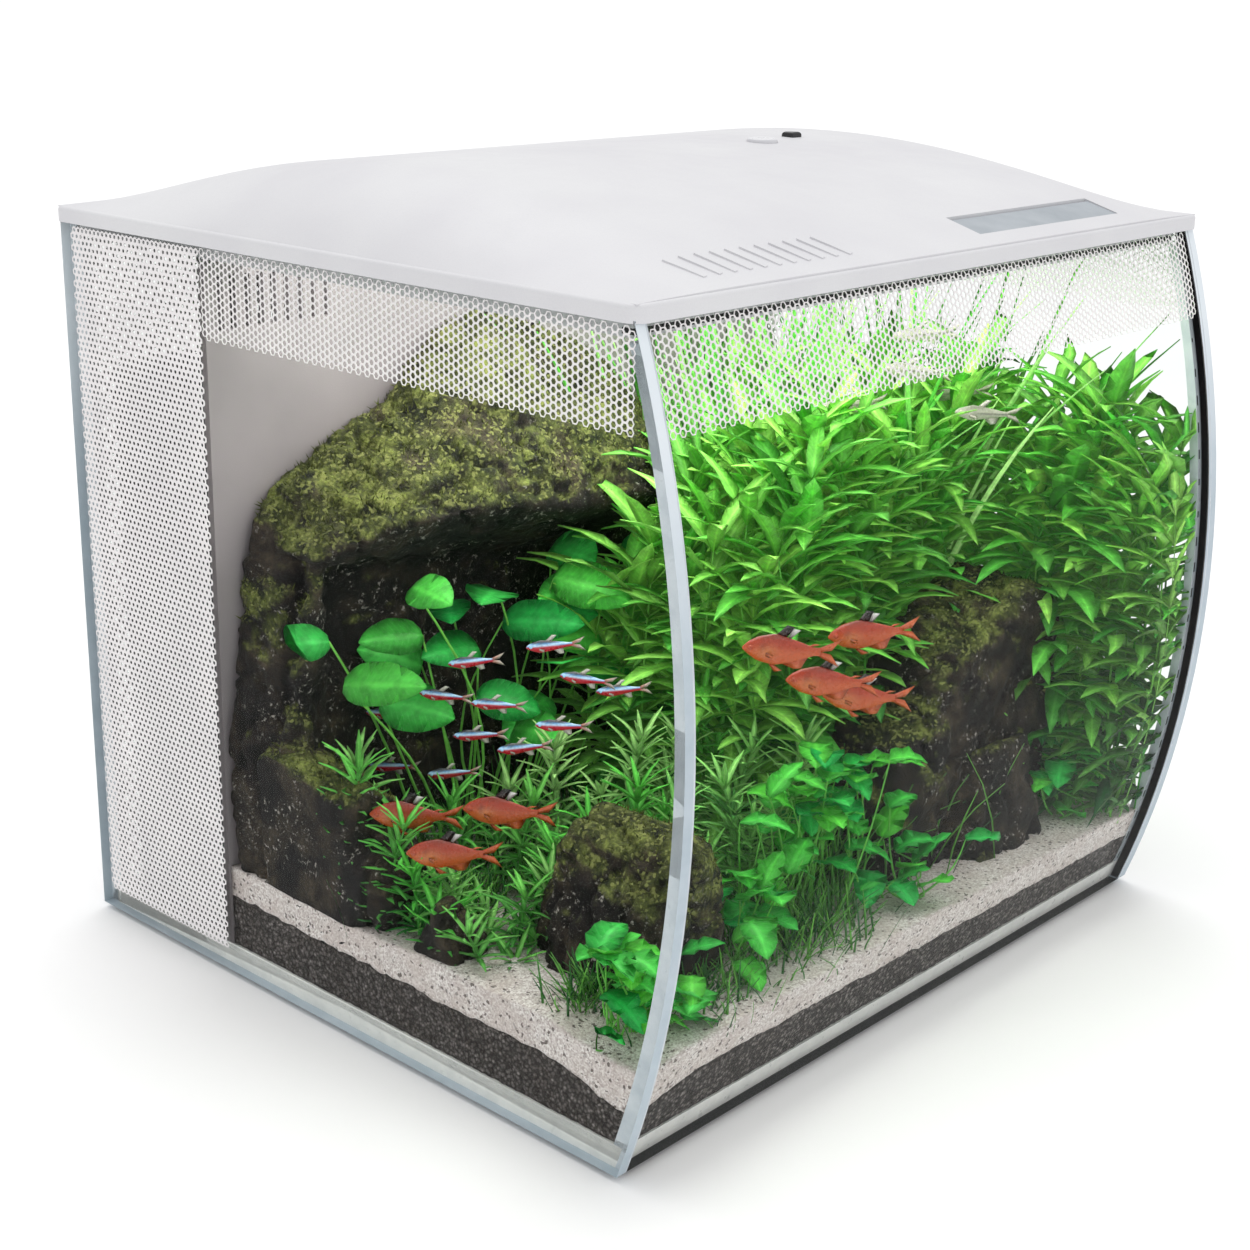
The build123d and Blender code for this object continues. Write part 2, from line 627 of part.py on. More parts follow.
def rock(outline, front, back, taper=12):
    """Boulder from its outline in the XZ plane, drawn in a little towards the front."""
    with BuildPart() as boulder:
        with BuildSketch(Plane.XZ.offset(-back)):
            with BuildLine():
                Polyline(*outline, close=True)
            make_face()
        extrude(amount=back - front)
        edges = boulder.faces().sort_by(Axis.Y)[0].edges()
        chamfer(edges.filter_by(lambda e: e.center().Z > SAND_TOP + 1), taper)
    return boulder.part


# A wall of rock against the divider, with an overhanging mossy top that makes a cave under it
crest = [(-172, 235), (-120, 268), (-60, 300), (0, 298), (60, 262), (86, 200)]
with BuildPart() as main_boulder:
    add(rock([(-190, 50), (-188, 150), *crest, (84, 50)], 62, 90, 8))
    add(rock([*crest, (0, 205), (-120, 225)], 22, 64, 8))
save(main_boulder, "main_boulder")

with BuildPart() as left_rock:
    add(rock([(-194, 50), (-194, 112), (-180, 118), (-169, 96), (-168, 50)], 18, 60, 5))
save(left_rock, "left_rock")

with BuildPart() as corner_rock:
    add(rock([(-150, 50), (-146, 104), (-132, 122), (-112, 112), (-104, 50)], -150, -98, 7))
save(corner_rock, "corner_rock")

with BuildPart() as front_rock:
    outline = [(10, 50), (18, 104), (48, 138), (76, 160), (118, 182), (140, 176), (152, 136), (152, 50)]
    add(rock(outline, -142, -98, 9))
save(front_rock, "front_rock")


# ---------------------------------------------------------------- plants

with BuildPart() as back_grass:
    with Locations((142, 38, SAND_TOP)):
        with GridLocations(32, 34, 3, 2):
            Cone(9, 5, 238, align=(Align.CENTER, Align.CENTER, Align.MIN))
save(back_grass, "back_grass")

with BuildPart() as stem_plants:
    with Locations((92, -42, SAND_TOP)):
        with GridLocations(42, 40, 5, 2):
            Cylinder(12, 40, align=(Align.CENTER, Align.CENTER, Align.MIN))
            Cone(12, 17, 90, align=(Align.CENTER, Align.CENTER, Align.MIN))
    with Locations((92, -42, SAND_TOP + 90)):
        with GridLocations(42, 40, 5, 2):
            Cone(17, 6, 85, align=(Align.CENTER, Align.CENTER, Align.MIN))
save(stem_plants, "stem_plants")

with BuildPart() as broad_leaf_plant:
    for x, y, top in ((-98, 30, 110), (-70, 16, 96), (-62, 44, 112)):
        with Locations((x, y, SAND_TOP)):
            Cone(4, 12, top, align=(Align.CENTER, Align.CENTER, Align.MIN))
save(broad_leaf_plant, "broad_leaf_plant")

with BuildPart() as front_plants:
    for x, y, top in (
        (-172, -138, 50),
        (-80, -132, 60),
        (-46, -126, 82),
        (-14, -134, 74),
        (172, -126, 60),
        (-178, -30, 40),
    ):
        with Locations((x, y, SAND_TOP)):
            Cone(6, 14, top, align=(Align.CENTER, Align.CENTER, Align.MIN))
save(front_plants, "front_plants")


# ---------------------------------------------------------------- fish

HEADING = (-0.68, 0.73, 0)
FACING = (-0.73, -0.68, 0)


def shoal(places, length, height, thickness):
    """Fish of one kind: an oval body and a forked tail, all swimming the same way."""
    tail = length * 0.24
    fork = height / 2
    with BuildPart() as fish:
        for place in places:
            with BuildSketch(Plane(origin=place, x_dir=HEADING, z_dir=FACING)):
                Ellipse(length / 2 - tail / 2, height / 2)
                with Locations((-length / 2 + tail * 0.4, 0)):
                    Polygon((tail, 0), (-tail / 2, fork), (-tail / 6, 0), (-tail / 2, -fork), align=None)
            extrude(amount=thickness / 2, both=True)
    return fish


save(
    shoal(
        [
            (-132, -10, 168),
            (-132, -60, 188),
            (-111, -60, 167),
            (-87, -60, 156),
            (-130, 12, 145),
            (-130, -23, 150),
            (-134, 46, 128),
            (-128, -62, 150),
            (-130, -11, 132),
            (-130, -40, 134),
            (-138, 40, 104),
            (-130, 7, 108),
        ],
        25,
        6,
        4,
    ),
    "neon_tetras",
)
save(
    shoal(
        [
            (-146, 16, 88),
            (-150, -50, 112),
            (-150, -14, 80),
            (-82, -150, 196),
            (-51, -150, 174),
            (-24, -150, 160),
            (-8, -140, 184),
        ],
        44,
        15,
        7,
    ),
    "red_tetras",
)
save(
    shoal([(137, -60, 292), (77, -60, 264), (104, -78, 280), (150, -74, 262), (118, -112, 262)], 34, 9, 4),
    "glass_fish",
)
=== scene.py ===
"""Bow-front glass aquarium with its rocks, plants and fish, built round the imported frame."""

import math

import bmesh
import bpy
import numpy as np
from mathutils import Matrix, Vector


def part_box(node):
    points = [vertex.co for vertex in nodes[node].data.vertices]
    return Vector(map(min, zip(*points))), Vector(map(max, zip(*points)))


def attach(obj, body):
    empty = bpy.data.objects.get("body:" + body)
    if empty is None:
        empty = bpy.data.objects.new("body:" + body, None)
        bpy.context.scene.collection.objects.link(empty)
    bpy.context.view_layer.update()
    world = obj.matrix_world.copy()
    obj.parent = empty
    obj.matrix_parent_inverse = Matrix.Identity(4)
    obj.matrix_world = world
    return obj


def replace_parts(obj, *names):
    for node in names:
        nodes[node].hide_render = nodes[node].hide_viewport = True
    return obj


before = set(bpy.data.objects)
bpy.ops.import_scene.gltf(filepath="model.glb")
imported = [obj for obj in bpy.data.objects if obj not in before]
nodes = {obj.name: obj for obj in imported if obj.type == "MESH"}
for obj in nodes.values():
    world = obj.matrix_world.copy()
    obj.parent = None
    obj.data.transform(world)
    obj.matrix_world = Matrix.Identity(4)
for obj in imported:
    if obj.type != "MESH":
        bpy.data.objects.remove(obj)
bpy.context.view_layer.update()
rng = np.random.default_rng(58)

# Lengths below are in millimetres and become metres when a mesh is made.
MM = 0.001
UP = np.array([0.0, 0.0, 1.0])
GLASS_IN, GLASS_OUT = 198.0, 203.0  # inner and outer faces of the side panes
BACK_OUT = 194.0  # outer face of the back pane
DIVIDER = 92.0  # front face of the divider
BOW = (325.5, 522.5, 177.5)  # centre line, radius and mid height of the front pane's outer arc


def bow_y(z, inset=0.0):
    """Y of the front pane at height z, this far behind its outer face."""
    centre, radius, middle = BOW
    return centre - np.sqrt((radius - inset) ** 2 - (z - middle) ** 2)


# -------- camera, light and floor

camera = bpy.data.objects.new("camera", bpy.data.cameras.new("camera"))
bpy.context.scene.collection.objects.link(camera)
camera.data.sensor_width = 36
camera.data.lens = 59.54
camera.data.clip_start = 0.05
camera.data.clip_end = 200
camera.matrix_world = Matrix(
    (
        (0.6772, 0.2178, -0.7028, -0.7409),
        (-0.7355, 0.2257, -0.6388, -0.6545),
        (0.0194, 0.9495, 0.3131, 0.4784),
        (0, 0, 0, 1),
    )
)
bpy.context.scene.camera = camera
bpy.context.scene.view_settings.view_transform = "Standard"

world = bpy.data.worlds.new("studio")
bpy.context.scene.world = world
world.use_nodes = True
world.node_tree.nodes["Background"].inputs["Color"].default_value = (1, 1, 1, 1)
world.node_tree.nodes["Background"].inputs["Strength"].default_value = 0.82

sky = bpy.data.lights.new("overhead", "SUN")
sky.energy, sky.angle = 1.15, math.radians(60)
overhead = bpy.data.objects.new("overhead", sky)
bpy.context.scene.collection.objects.link(overhead)
overhead.rotation_euler = (math.radians(-14), math.radians(12), 0)


def area_light(name, place, target, size, power, tint=(1, 1, 1)):
    """Soft rectangular light at place, aimed at target, in metres and watts."""
    light = bpy.data.lights.new(name, "AREA")
    light.shape = "RECTANGLE"
    light.size, light.size_y = size
    light.energy = power
    light.color = tint
    lamp = bpy.data.objects.new(name, light)
    bpy.context.scene.collection.objects.link(lamp)
    lamp.location = place
    lamp.rotation_euler = (Vector(target) - Vector(place)).to_track_quat("-Z", "Y").to_euler()
    return lamp


area_light("key", (-0.5, -1.9, 1.7), (0, 0, 0.15), (1.2, 1.2), 4)
under_lid, below = (0, -0.03, 0.3395), (0, -0.03, 0)
lamp = area_light("tank_lamp", under_lid, below, (0.35, 0.26), 1.0, (1.0, 0.98, 0.95))
lamp.visible_camera = False


# -------- repeatable noise


def lattice(cell, seed):
    """Random numbers from 0 to 1 for whole-number cells, the same every run."""
    n = cell[..., 0] * 374761393 + cell[..., 1] * 668265263 + cell[..., 2] * 1440662683
    n = (n + seed * 362437) & 0xFFFFFFFF
    n = ((n ^ (n >> 13)) * 1274126177) & 0xFFFFFFFF
    n = ((n ^ (n >> 16)) * 668265263) & 0xFFFFFFFF
    return ((n >> 8) & 0xFFFF) / 65535.0


def noise(points, size, seed):
    """Smooth noise from -1 to 1 whose lumps measure about size."""
    place = np.asarray(points, float) / size + seed * 17.31
    cell = np.floor(place).astype(np.int64)
    part = place - cell
    part = part * part * (3 - 2 * part)
    total = 0.0
    for corner in np.ndindex(2, 2, 2):
        weight = np.prod(np.where(corner, part, 1 - part), axis=-1)
        total = total + weight * lattice(cell + np.array(corner), seed)
    return 2 * total - 1


def layered(points, size, octaves, seed):
    """Several sizes of noise added up, each half as large and half as strong."""
    return sum(noise(points, size / 2**i, seed + i) / 2**i for i in range(octaves)) / 1.6


def step(low, high, value):
    """0 below low, 1 above high, smooth between."""
    t = np.clip((value - low) / (high - low), 0, 1)
    return t * t * (3 - 2 * t)


def mix(a, b, t):
    """Blend of two colours or points by t, one t for each point."""
    t = np.asarray(t)[..., None]
    return np.asarray(a) * (1 - t) + np.asarray(b) * t


def unit(v):
    """Vector or rows of vectors at length 1."""
    return v / np.maximum(np.linalg.norm(v, axis=-1, keepdims=True), 1e-9)


# -------- materials


class Shader:
    """A node material built up from its Principled node."""

    def __init__(self, name, roughness=0.5, metallic=0.0, specular=0.5):
        self.material = bpy.data.materials.new(name)
        self.material.use_nodes = True
        self.tree = self.material.node_tree
        self.base = self.tree.nodes["Principled BSDF"]
        self.base.inputs["Roughness"].default_value = roughness
        self.base.inputs["Metallic"].default_value = metallic
        self.base.inputs["Specular IOR Level"].default_value = specular
        coordinates = self.tree.nodes.new("ShaderNodeTexCoord")
        self.place = coordinates.outputs["Object"]
        self.normal = coordinates.outputs["Normal"]

    def put(self, socket, value):
        """Links or sets one input."""
        if isinstance(value, bpy.types.NodeSocket):
            self.tree.links.new(value, socket)
        elif isinstance(socket.default_value, float):
            socket.default_value = value
        else:
            n = len(socket.default_value)
            socket.default_value = tuple(value)[:n] + (1.0,) * (n - len(value))

    def add(self, kind, out=0, inputs=(), **settings):
        """New node with these settings and inputs; gives one of its outputs."""
        node = self.tree.nodes.new("ShaderNode" + kind)
        for key, value in settings.items():
            setattr(node, key, value)
        for key, value in dict(inputs).items():
            self.put(node.inputs[key], value)
        return node.outputs[out]

    def grain(self, size, detail=3.0, rough=0.55, stretch=None):
        """Noise from 0 to 1 with features of this many millimetres."""
        place = self.place
        if stretch:
            place = self.add("Mapping", inputs={"Vector": place, "Scale": stretch})
        return self.add(
            "TexNoise",
            inputs={"Vector": place, "Scale": 1000.0 / size, "Detail": detail, "Roughness": rough},
        )

    def cells(self, size, out="Distance", feature="F1"):
        """Voronoi cells of this many millimetres."""
        return self.add(
            "TexVoronoi",
            out=out,
            feature=feature,
            inputs={"Vector": self.place, "Scale": 1000.0 / size},
        )

    def span(self, value, low, high, to_low=0.0, to_high=1.0):
        """value from low..high moved to to_low..to_high, and held at the ends."""
        names = "Value", "From Min", "From Max", "To Min", "To Max"
        return self.add("MapRange", inputs=zip(names, (value, low, high, to_low, to_high)))

    def mottle(self, size, detail=3.0, low=0.0, high=1.0):
        """Noise of this size whose middle range is spread over low..high."""
        return self.span(self.grain(size, detail), 0.3, 0.7, low, high)

    def math(self, operation, a, b=0.0):
        """Result of one operation on one or two values."""
        return self.add("Math", operation=operation, inputs={0: a, 1: b})

    def blend(self, factor, a, b, how="MIX"):
        """Mixed colour."""
        return self.add(
            "Mix", out=2, data_type="RGBA", blend_type=how, inputs={0: factor, 6: a, 7: b}
        )

    def scaled(self, colour, value):
        """Colour times one number."""
        grey = self.add("CombineColor", inputs={0: value, 1: value, 2: value})
        return self.blend(1.0, colour, grey, "MULTIPLY")

    def axis(self, index, source=None):
        """One coordinate of the place, or of another vector."""
        return self.add("SeparateXYZ", out=index, inputs={0: source or self.place})

    def bump(self, height, depth):
        """Relief of this many millimetres."""
        return self.add("Bump", inputs={"Height": height, "Distance": depth * MM})

    def finish(self, colour=None, roughness=None, bump=None):
        """Links the given results to the Principled node; gives the material."""
        for key, value in (("Base Color", colour), ("Roughness", roughness), ("Normal", bump)):
            if value is not None:
                self.put(self.base.inputs[key], value)
        return self.material


def moulded(name, light, dark, rough, grain=0.5, relief=0.03):
    """Moulded plastic: faint mottling, fine texture and uneven gloss."""
    s = Shader(name)
    broad = s.grain(28, 3)
    fine = s.grain(grain, 2, 0.6)
    colour = s.blend(s.span(broad, 0.3, 0.7), dark, light)
    colour = s.blend(s.span(fine, 0.3, 0.7, 0.0, 0.12), colour, dark)
    gloss = s.mottle(9, 4, rough - 0.06, rough + 0.08)
    return s.finish(colour, gloss, s.bump(fine, relief))


SHEEN, LEAST_SHEEN = 0.18, 0.0005  # share of light a pane reflects, edge on and face on
BOND_LINE = 0.0012  # width of the black line along the front pane's bond, in metres
GLUED_FROM = 0.1942  # where that bond starts


def pane(name, axis, low=(0.42, 0.50, 0.56), high=(0.50, 0.57, 0.63), glued_from=None):
    """Clear glass on the two faces across this axis and frosted, ground edges elsewhere.

    glued_from is where, towards +X, the bond to the next pane shows as a black line and
    a pale strip."""
    s = Shader(name, roughness=0.3)
    across = s.math("ABSOLUTE", s.axis(axis, s.normal))
    face = s.math("GREATER_THAN", across, 0.7)
    if glued_from:
        face = s.math("MULTIPLY", face, s.math("LESS_THAN", s.axis(0), glued_from))
    colour = s.blend(s.mottle(14, 4), low, high)
    # Painted highlight: the ground edges are painted whiter towards the top, from 0.22 m up.
    colour = s.blend(s.span(s.axis(2), 0.22, 0.31, 0.0, 0.75), colour, (0.83, 0.88, 0.92))
    if glued_from:
        line = s.math("LESS_THAN", s.axis(0), glued_from + BOND_LINE)
        colour = s.blend(line, colour, (0.012, 0.013, 0.014))
    s.finish(colour, s.mottle(1.2, 2, 0.5, 0.7), s.bump(s.grain(0.8, 2), 0.02))
    clear = s.add("BsdfTransparent", inputs={"Color": (0.975, 0.985, 0.98)})
    smear = s.span(s.grain(30, 3), 0.4, 0.7, 0.0, 0.02)
    shine = s.add("BsdfGlossy", inputs={"Color": (1, 1, 1), "Roughness": smear})
    slant = s.add("LayerWeight", out="Facing", inputs={"Blend": 0.5})
    share = s.math("MULTIPLY", s.math("POWER", slant, 5.0), SHEEN)
    glass = s.add("MixShader", inputs={0: s.math("ADD", share, LEAST_SHEEN), 1: clear, 2: shine})
    whole = s.add("MixShader", inputs={0: face, 1: s.base.outputs[0], 2: glass})
    s.put(s.tree.nodes["Material Output"].inputs["Surface"], whole)
    return s.material


def silicone(name, low=(0.50, 0.55, 0.60), high=(0.64, 0.68, 0.72)):
    """Pale milky bead."""
    s = Shader(name, roughness=0.35)
    colour = s.blend(s.mottle(10), low, high)
    return s.finish(colour, s.mottle(4, 3, 0.25, 0.5), s.bump(s.grain(2.5), 0.12))


def tinted(name, rough, relief, grain, contrast, specular):
    """Colour from the mesh's own tint, broken up by grain."""
    s = Shader(name, specular=specular)
    tint = s.add("VertexColor", layer_name="tint")
    fine = s.grain(grain, 4, 0.65)
    colour = s.scaled(tint, s.span(fine, 0.3, 0.7, 1 - contrast, 1 + contrast))
    gloss = s.mottle(grain * 4, 3, rough - 0.1, rough + 0.12)
    return s.finish(colour, gloss, s.bump(fine, relief))


def leaf_material(name, rough=0.42, veins=6.0, painted_glow=0.07):
    """Leaf with a pale midrib, slanting side veins and a soft mottled green.

    painted_glow is painted light: an emission in the leaf's own colour that stands in for the light
    a thin leaf lets through."""
    s = Shader(name, specular=0.22)
    tint = s.add("VertexColor", layer_name="tint")
    leaf = s.add("Attribute", out="Vector", attribute_name="leaf")
    across, along = s.axis(0, leaf), s.axis(1, leaf)
    ribs = s.math("MULTIPLY", s.math("SUBTRACT", along, s.math("MULTIPLY", across, veins)), 2.2)
    ribs = s.span(s.math("SINE", ribs), 0.4, 1.0)
    midrib = s.span(across, 0.05, 0.2, 1.0, 0.0)
    line = s.math("MAXIMUM", midrib, s.math("MULTIPLY", ribs, 0.4))
    colour = s.scaled(tint, s.mottle(5, 4, 0.72, 1.25))
    pale = s.blend(1.0, colour, (1.9, 1.5, 1.7), "MULTIPLY")
    colour = s.blend(s.math("MULTIPLY", line, 0.6), colour, pale)
    gloss = s.mottle(3, 3, rough - 0.08, rough + 0.15)
    # Painted light: the leaf glows faintly in its own colour.
    s.put(s.base.inputs["Emission Color"], colour)
    s.put(s.base.inputs["Emission Strength"], painted_glow)
    return s.finish(colour, gloss, s.bump(line, -0.15))


def lid_material():
    """Fine-textured satin white, with a thin black band painted along the front skirt as the shadow
    under the rim.
    """
    s = Shader("lid_white", specular=0.4)
    fine = s.grain(0.55, 2, 0.6)
    broad = s.grain(90, 2)
    colour = s.blend(s.span(broad, 0.35, 0.65), (0.645, 0.64, 0.665), (0.695, 0.695, 0.71))
    colour = s.blend(s.span(fine, 0.45, 0.7, 0.0, 0.25), colour, (0.56, 0.56, 0.59))
    height = s.axis(2)
    # Painted shadow: a black band low on the skirt, on the front only, stands for the shade under
    # the rim.
    low, top, front = 0.3452, 0.3476, -0.155
    line = s.math("MULTIPLY", s.math("GREATER_THAN", height, low), s.math("LESS_THAN", height, top))
    line = s.math("MULTIPLY", line, s.math("LESS_THAN", s.axis(1), front))
    colour = s.blend(line, colour, (0.01, 0.01, 0.011))
    gloss = s.mottle(12, 4, 0.36, 0.5)
    return s.finish(colour, gloss, s.bump(fine, 0.035))


def foam_material():
    """Open-cell filter foam: thin struts, with the pores between them painted near black as shade.
    """
    s = Shader("foam", roughness=0.9, specular=0.2)
    pores = s.cells(2.4, feature="DISTANCE_TO_EDGE")
    strut = s.span(pores, 0.05, 0.22, 1.0, 0.0)
    # Painted shade: the pores are darker than the struts.
    colour = s.blend(strut, (0.004, 0.005, 0.006), (0.035, 0.04, 0.045))
    return s.finish(colour, None, s.bump(strut, 1.0))


def soil_material():
    """Baked clay granules, each with its own grey-brown."""
    s = Shader("soil", roughness=0.85, specular=0.25)
    shade = s.axis(0, s.cells(1.9, out="Color"))
    colour = s.blend(s.span(shade, 0.1, 0.95), (0.045, 0.038, 0.036), (0.30, 0.265, 0.255))
    colour = s.blend(s.span(s.grain(22, 3), 0.4, 0.65, 0.0, 0.4), colour, (0.10, 0.08, 0.07))
    # Painted shade: the gaps between granules are darkened.
    gap = s.span(s.cells(1.9), 0.25, 0.6, 0.0, 0.85)
    colour = s.blend(gap, colour, (0.020, 0.017, 0.016))
    return s.finish(colour, None, s.bump(s.cells(1.9), -0.9))


def sand_material():
    """Fine pale sand with dark and amber specks."""
    s = Shader("sand", roughness=0.8, specular=0.3)
    shade = s.axis(0, s.cells(0.8, out="Color"))
    colour = s.blend(s.span(shade, 0.1, 0.9), (0.50, 0.42, 0.40), (0.88, 0.82, 0.80))
    colour = s.blend(s.span(s.grain(16, 3), 0.42, 0.62, 0.0, 0.45), colour, (0.60, 0.50, 0.47))
    speck = s.axis(1, s.cells(1.3, out="Color"))
    colour = s.blend(s.span(speck, 0.93, 0.96, 0.0, 0.8), colour, (0.07, 0.05, 0.04))
    return s.finish(colour, None, s.bump(s.cells(0.8), -0.35))


def metal(name, colour, rough=0.3):
    """Brushed metal."""
    s = Shader(name, metallic=1.0)
    streak = s.grain(0.7, 3, 0.6, stretch=(0.08, 1, 1))
    dark = tuple(0.8 * c for c in colour)
    mixed = s.blend(s.span(streak, 0.3, 0.7), dark, colour)
    return s.finish(mixed, s.span(streak, 0.3, 0.7, rough, rough + 0.2), s.bump(streak, 0.01))


def circuit_material():
    """Green board with copper tracks and white marks."""
    s = Shader("circuit", roughness=0.35)
    tracks = s.add(
        "TexBrick",
        out="Fac",
        inputs={"Vector": s.place, "Scale": 260.0, "Mortar Size": 0.06, "Mortar Smooth": 0.2},
    )
    mottle = s.mottle(6, 3, 0.0, 0.4)
    colour = s.blend(mottle, (0.015, 0.10, 0.045), (0.02, 0.15, 0.06))
    colour = s.blend(s.math("MULTIPLY", tracks, 0.5), colour, (0.09, 0.25, 0.10))
    return s.finish(colour, None, s.bump(tracks, 0.05))


def lens_material(name, tint, share):
    """Thin clear plastic, partly see-through, with fine ribs."""
    s = Shader(name, roughness=0.15)
    ribs = s.math("SINE", s.math("MULTIPLY", s.axis(0), 3200.0))
    colour = s.blend(s.span(ribs, -1, 1), tuple(0.9 * c for c in tint), tint)
    s.finish(colour, s.mottle(5, 3, 0.1, 0.25), s.bump(ribs, 0.1))
    clear = s.add("BsdfTransparent", inputs={"Color": (0.97, 0.97, 0.97)})
    whole = s.add("MixShader", inputs={0: share, 1: clear, 2: s.base.outputs[0]})
    s.put(s.tree.nodes["Material Output"].inputs["Surface"], whole)
    return s.material


def rotor_material():
    """Moulded ferrite: near-black with a fine metallic fleck."""
    s = Shader("rotor", roughness=0.45)
    fleck = s.span(s.cells(0.7), 0.0, 0.35, 1.0, 0.0)
    colour = s.blend(fleck, (0.02, 0.02, 0.022), (0.11, 0.11, 0.12))
    return s.finish(colour, s.span(fleck, 0, 1, 0.5, 0.3), s.bump(fleck, 0.05))


def floor_material():
    """Near-white paper."""
    s = Shader("floor", roughness=0.9, specular=0.1)
    colour = s.blend(s.mottle(400), (0.93, 0.93, 0.93), (0.95, 0.95, 0.95))
    return s.finish(colour, None, s.bump(s.grain(60), 0.1))


glass_side, glass_back = pane("glass_x", 0), pane("glass_y", 1)
glass_front = pane("glass_bow", 1, glued_from=GLUED_FROM)
glass_base = pane("glass_z", 2, (0.66, 0.68, 0.68), (0.80, 0.80, 0.77))
bead = silicone("silicone")
black = moulded("black_plastic", (0.03, 0.031, 0.033), (0.018, 0.019, 0.02), 0.45)
pump_black = moulded("pump_plastic", (0.022, 0.022, 0.025), (0.012, 0.012, 0.014), 0.26, 1.5, 0.01)
divider_grey = moulded("divider", (0.315, 0.280, 0.290), (0.280, 0.250, 0.260), 0.55, 0.8)
print_white = moulded("print", (0.86, 0.83, 0.83), (0.78, 0.755, 0.76), 0.55, 1.2, 0.01)
inner_white = moulded("lid_inner", (0.80, 0.80, 0.82), (0.74, 0.74, 0.76), 0.5)
door = moulded("door_grey", (0.40, 0.435, 0.47), (0.30, 0.335, 0.37), 0.42, 0.5)
button = moulded("button", (0.74, 0.74, 0.76), (0.68, 0.68, 0.71), 0.3, 0.6, 0.015)
sensor = moulded("black_lens", (0.008, 0.008, 0.009), (0.004, 0.004, 0.005), 0.12, 2.0, 0.004)
mat_foam = moulded("mat_foam", (0.012, 0.012, 0.013), (0.006, 0.006, 0.007), 0.85, 0.9, 0.2)
cup = moulded("cup_rubber", (0.022, 0.022, 0.023), (0.012, 0.012, 0.012), 0.55, 0.8)
hose = moulded("hose", (0.24, 0.26, 0.28), (0.18, 0.20, 0.22), 0.3, 2.0, 0.02)
ceramic = moulded("bio_ceramic", (0.74, 0.69, 0.60), (0.60, 0.54, 0.45), 0.85, 0.9, 0.25)
shaft = moulded("shaft_ceramic", (0.82, 0.81, 0.77), (0.76, 0.75, 0.70), 0.2, 1.5, 0.01)
chip = moulded("led_chip", (0.93, 0.86, 0.52), (0.86, 0.78, 0.42), 0.3, 0.8)
steel = metal("steel", (0.62, 0.62, 0.63))
anodised = metal("led_body", (0.72, 0.73, 0.75), 0.35)
circuit = circuit_material()
LOOKS = (
    (mat_foam, "levelling_mat"),
    (glass_base, "base_pane"),
    (glass_back, "back_pane"),
    (glass_front, "front_pane"),
    (glass_side, "left_pane", "right_pane"),
    (bead, "seal_front_left", "seal_front_right", "seal_back_left", "seal_back_right"),
    (silicone("silicone_base", (0.74, 0.74, 0.72), (0.86, 0.85, 0.82)), "seal_base"),
    (divider_grey, "divider_panel", "chamber_wall_left", "chamber_wall_right"),
    (black, "foam_handle", "media_basket", "basket_handle"),
    (black, "outlet_manifold", "nozzle_left", "nozzle_right"),
    (ceramic, "ceramic_rings"),
    (pump_black, "pump_body", "pump_cover"),
    (cup, "pump_feet"),
    (rotor_material(), "impeller"),
    (shaft, "impeller_shaft"),
    (hose, "riser_tube"),
    (lid_material(), "lid_shell"),
    (inner_white, "lid_tray"),
    (door, "feed_door"),
    (steel, "hinge_pin", "lid_screws"),
    (button, "power_button"),
    (sensor, "sensor_window"),
    (circuit, "control_board", "led_board"),
    (anodised, "led_housing"),
    (chip, "led_chips"),
    (lens_material("led_cover", (0.9, 0.92, 0.94), 0.35), "led_lens"),
)
for look, *node_names in LOOKS:
    for node_name in node_names:
        for material_slot in nodes[node_name].material_slots:
            material_slot.material = look


# -------- meshes


FIELDS = {"FLOAT_COLOR": "color", "FLOAT_VECTOR": "vector", "FLOAT": "value"}


def store(mesh, name, kind, values):
    """Keeps a colour, a vector or a number for each point of a mesh."""
    values = np.asarray(values, np.float32)
    if kind == "FLOAT_COLOR":
        values = np.column_stack([values, np.ones(len(values), np.float32)])
    mesh.attributes.new(name, kind, "POINT").data.foreach_set(FIELDS[kind], values.ravel())


def arrays(mesh):
    """Points and normals of a mesh, in millimetres."""
    points, normals = np.zeros((2, len(mesh.vertices) * 3))
    mesh.vertices.foreach_get("co", points)
    mesh.vertices.foreach_get("normal", normals)
    return points.reshape(-1, 3) / MM, normals.reshape(-1, 3)


def dress(mesh, look, smooth=True):
    """Gives a mesh its one material and its shading."""
    mesh.polygons.foreach_set("use_smooth", [smooth] * len(mesh.polygons))
    mesh.materials.clear()
    mesh.materials.append(look)


def link(name, mesh):
    """New object in the scene."""
    made = bpy.data.objects.new(name, mesh)
    bpy.context.scene.collection.objects.link(made)
    return made


def joined(mesh, weld=0.0, outward=True):
    """Welds points nearer than weld, in millimetres, and turns the faces outward."""
    shape = bmesh.new()
    shape.from_mesh(mesh)
    if weld:
        bmesh.ops.remove_doubles(shape, verts=shape.verts, dist=weld * MM)
    if outward:
        bmesh.ops.recalc_face_normals(shape, faces=shape.faces)
    shape.to_mesh(mesh)
    shape.free()


def piece(name, points, faces, look, tints=None, leaf=None, smooth=True, outward=True):
    """New mesh from points in millimetres, riding on the tank."""
    mesh = bpy.data.meshes.new(name)
    mesh.from_pydata((np.asarray(points) * MM).tolist(), [], faces)
    mesh.validate()
    if tints is not None:
        store(mesh, "tint", "FLOAT_COLOR", tints)
    if leaf is not None:
        store(mesh, "leaf", "FLOAT_VECTOR", leaf)
    if outward:
        joined(mesh)
    dress(mesh, look, smooth)
    made = link(name, mesh)
    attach(made, "tank")
    return made


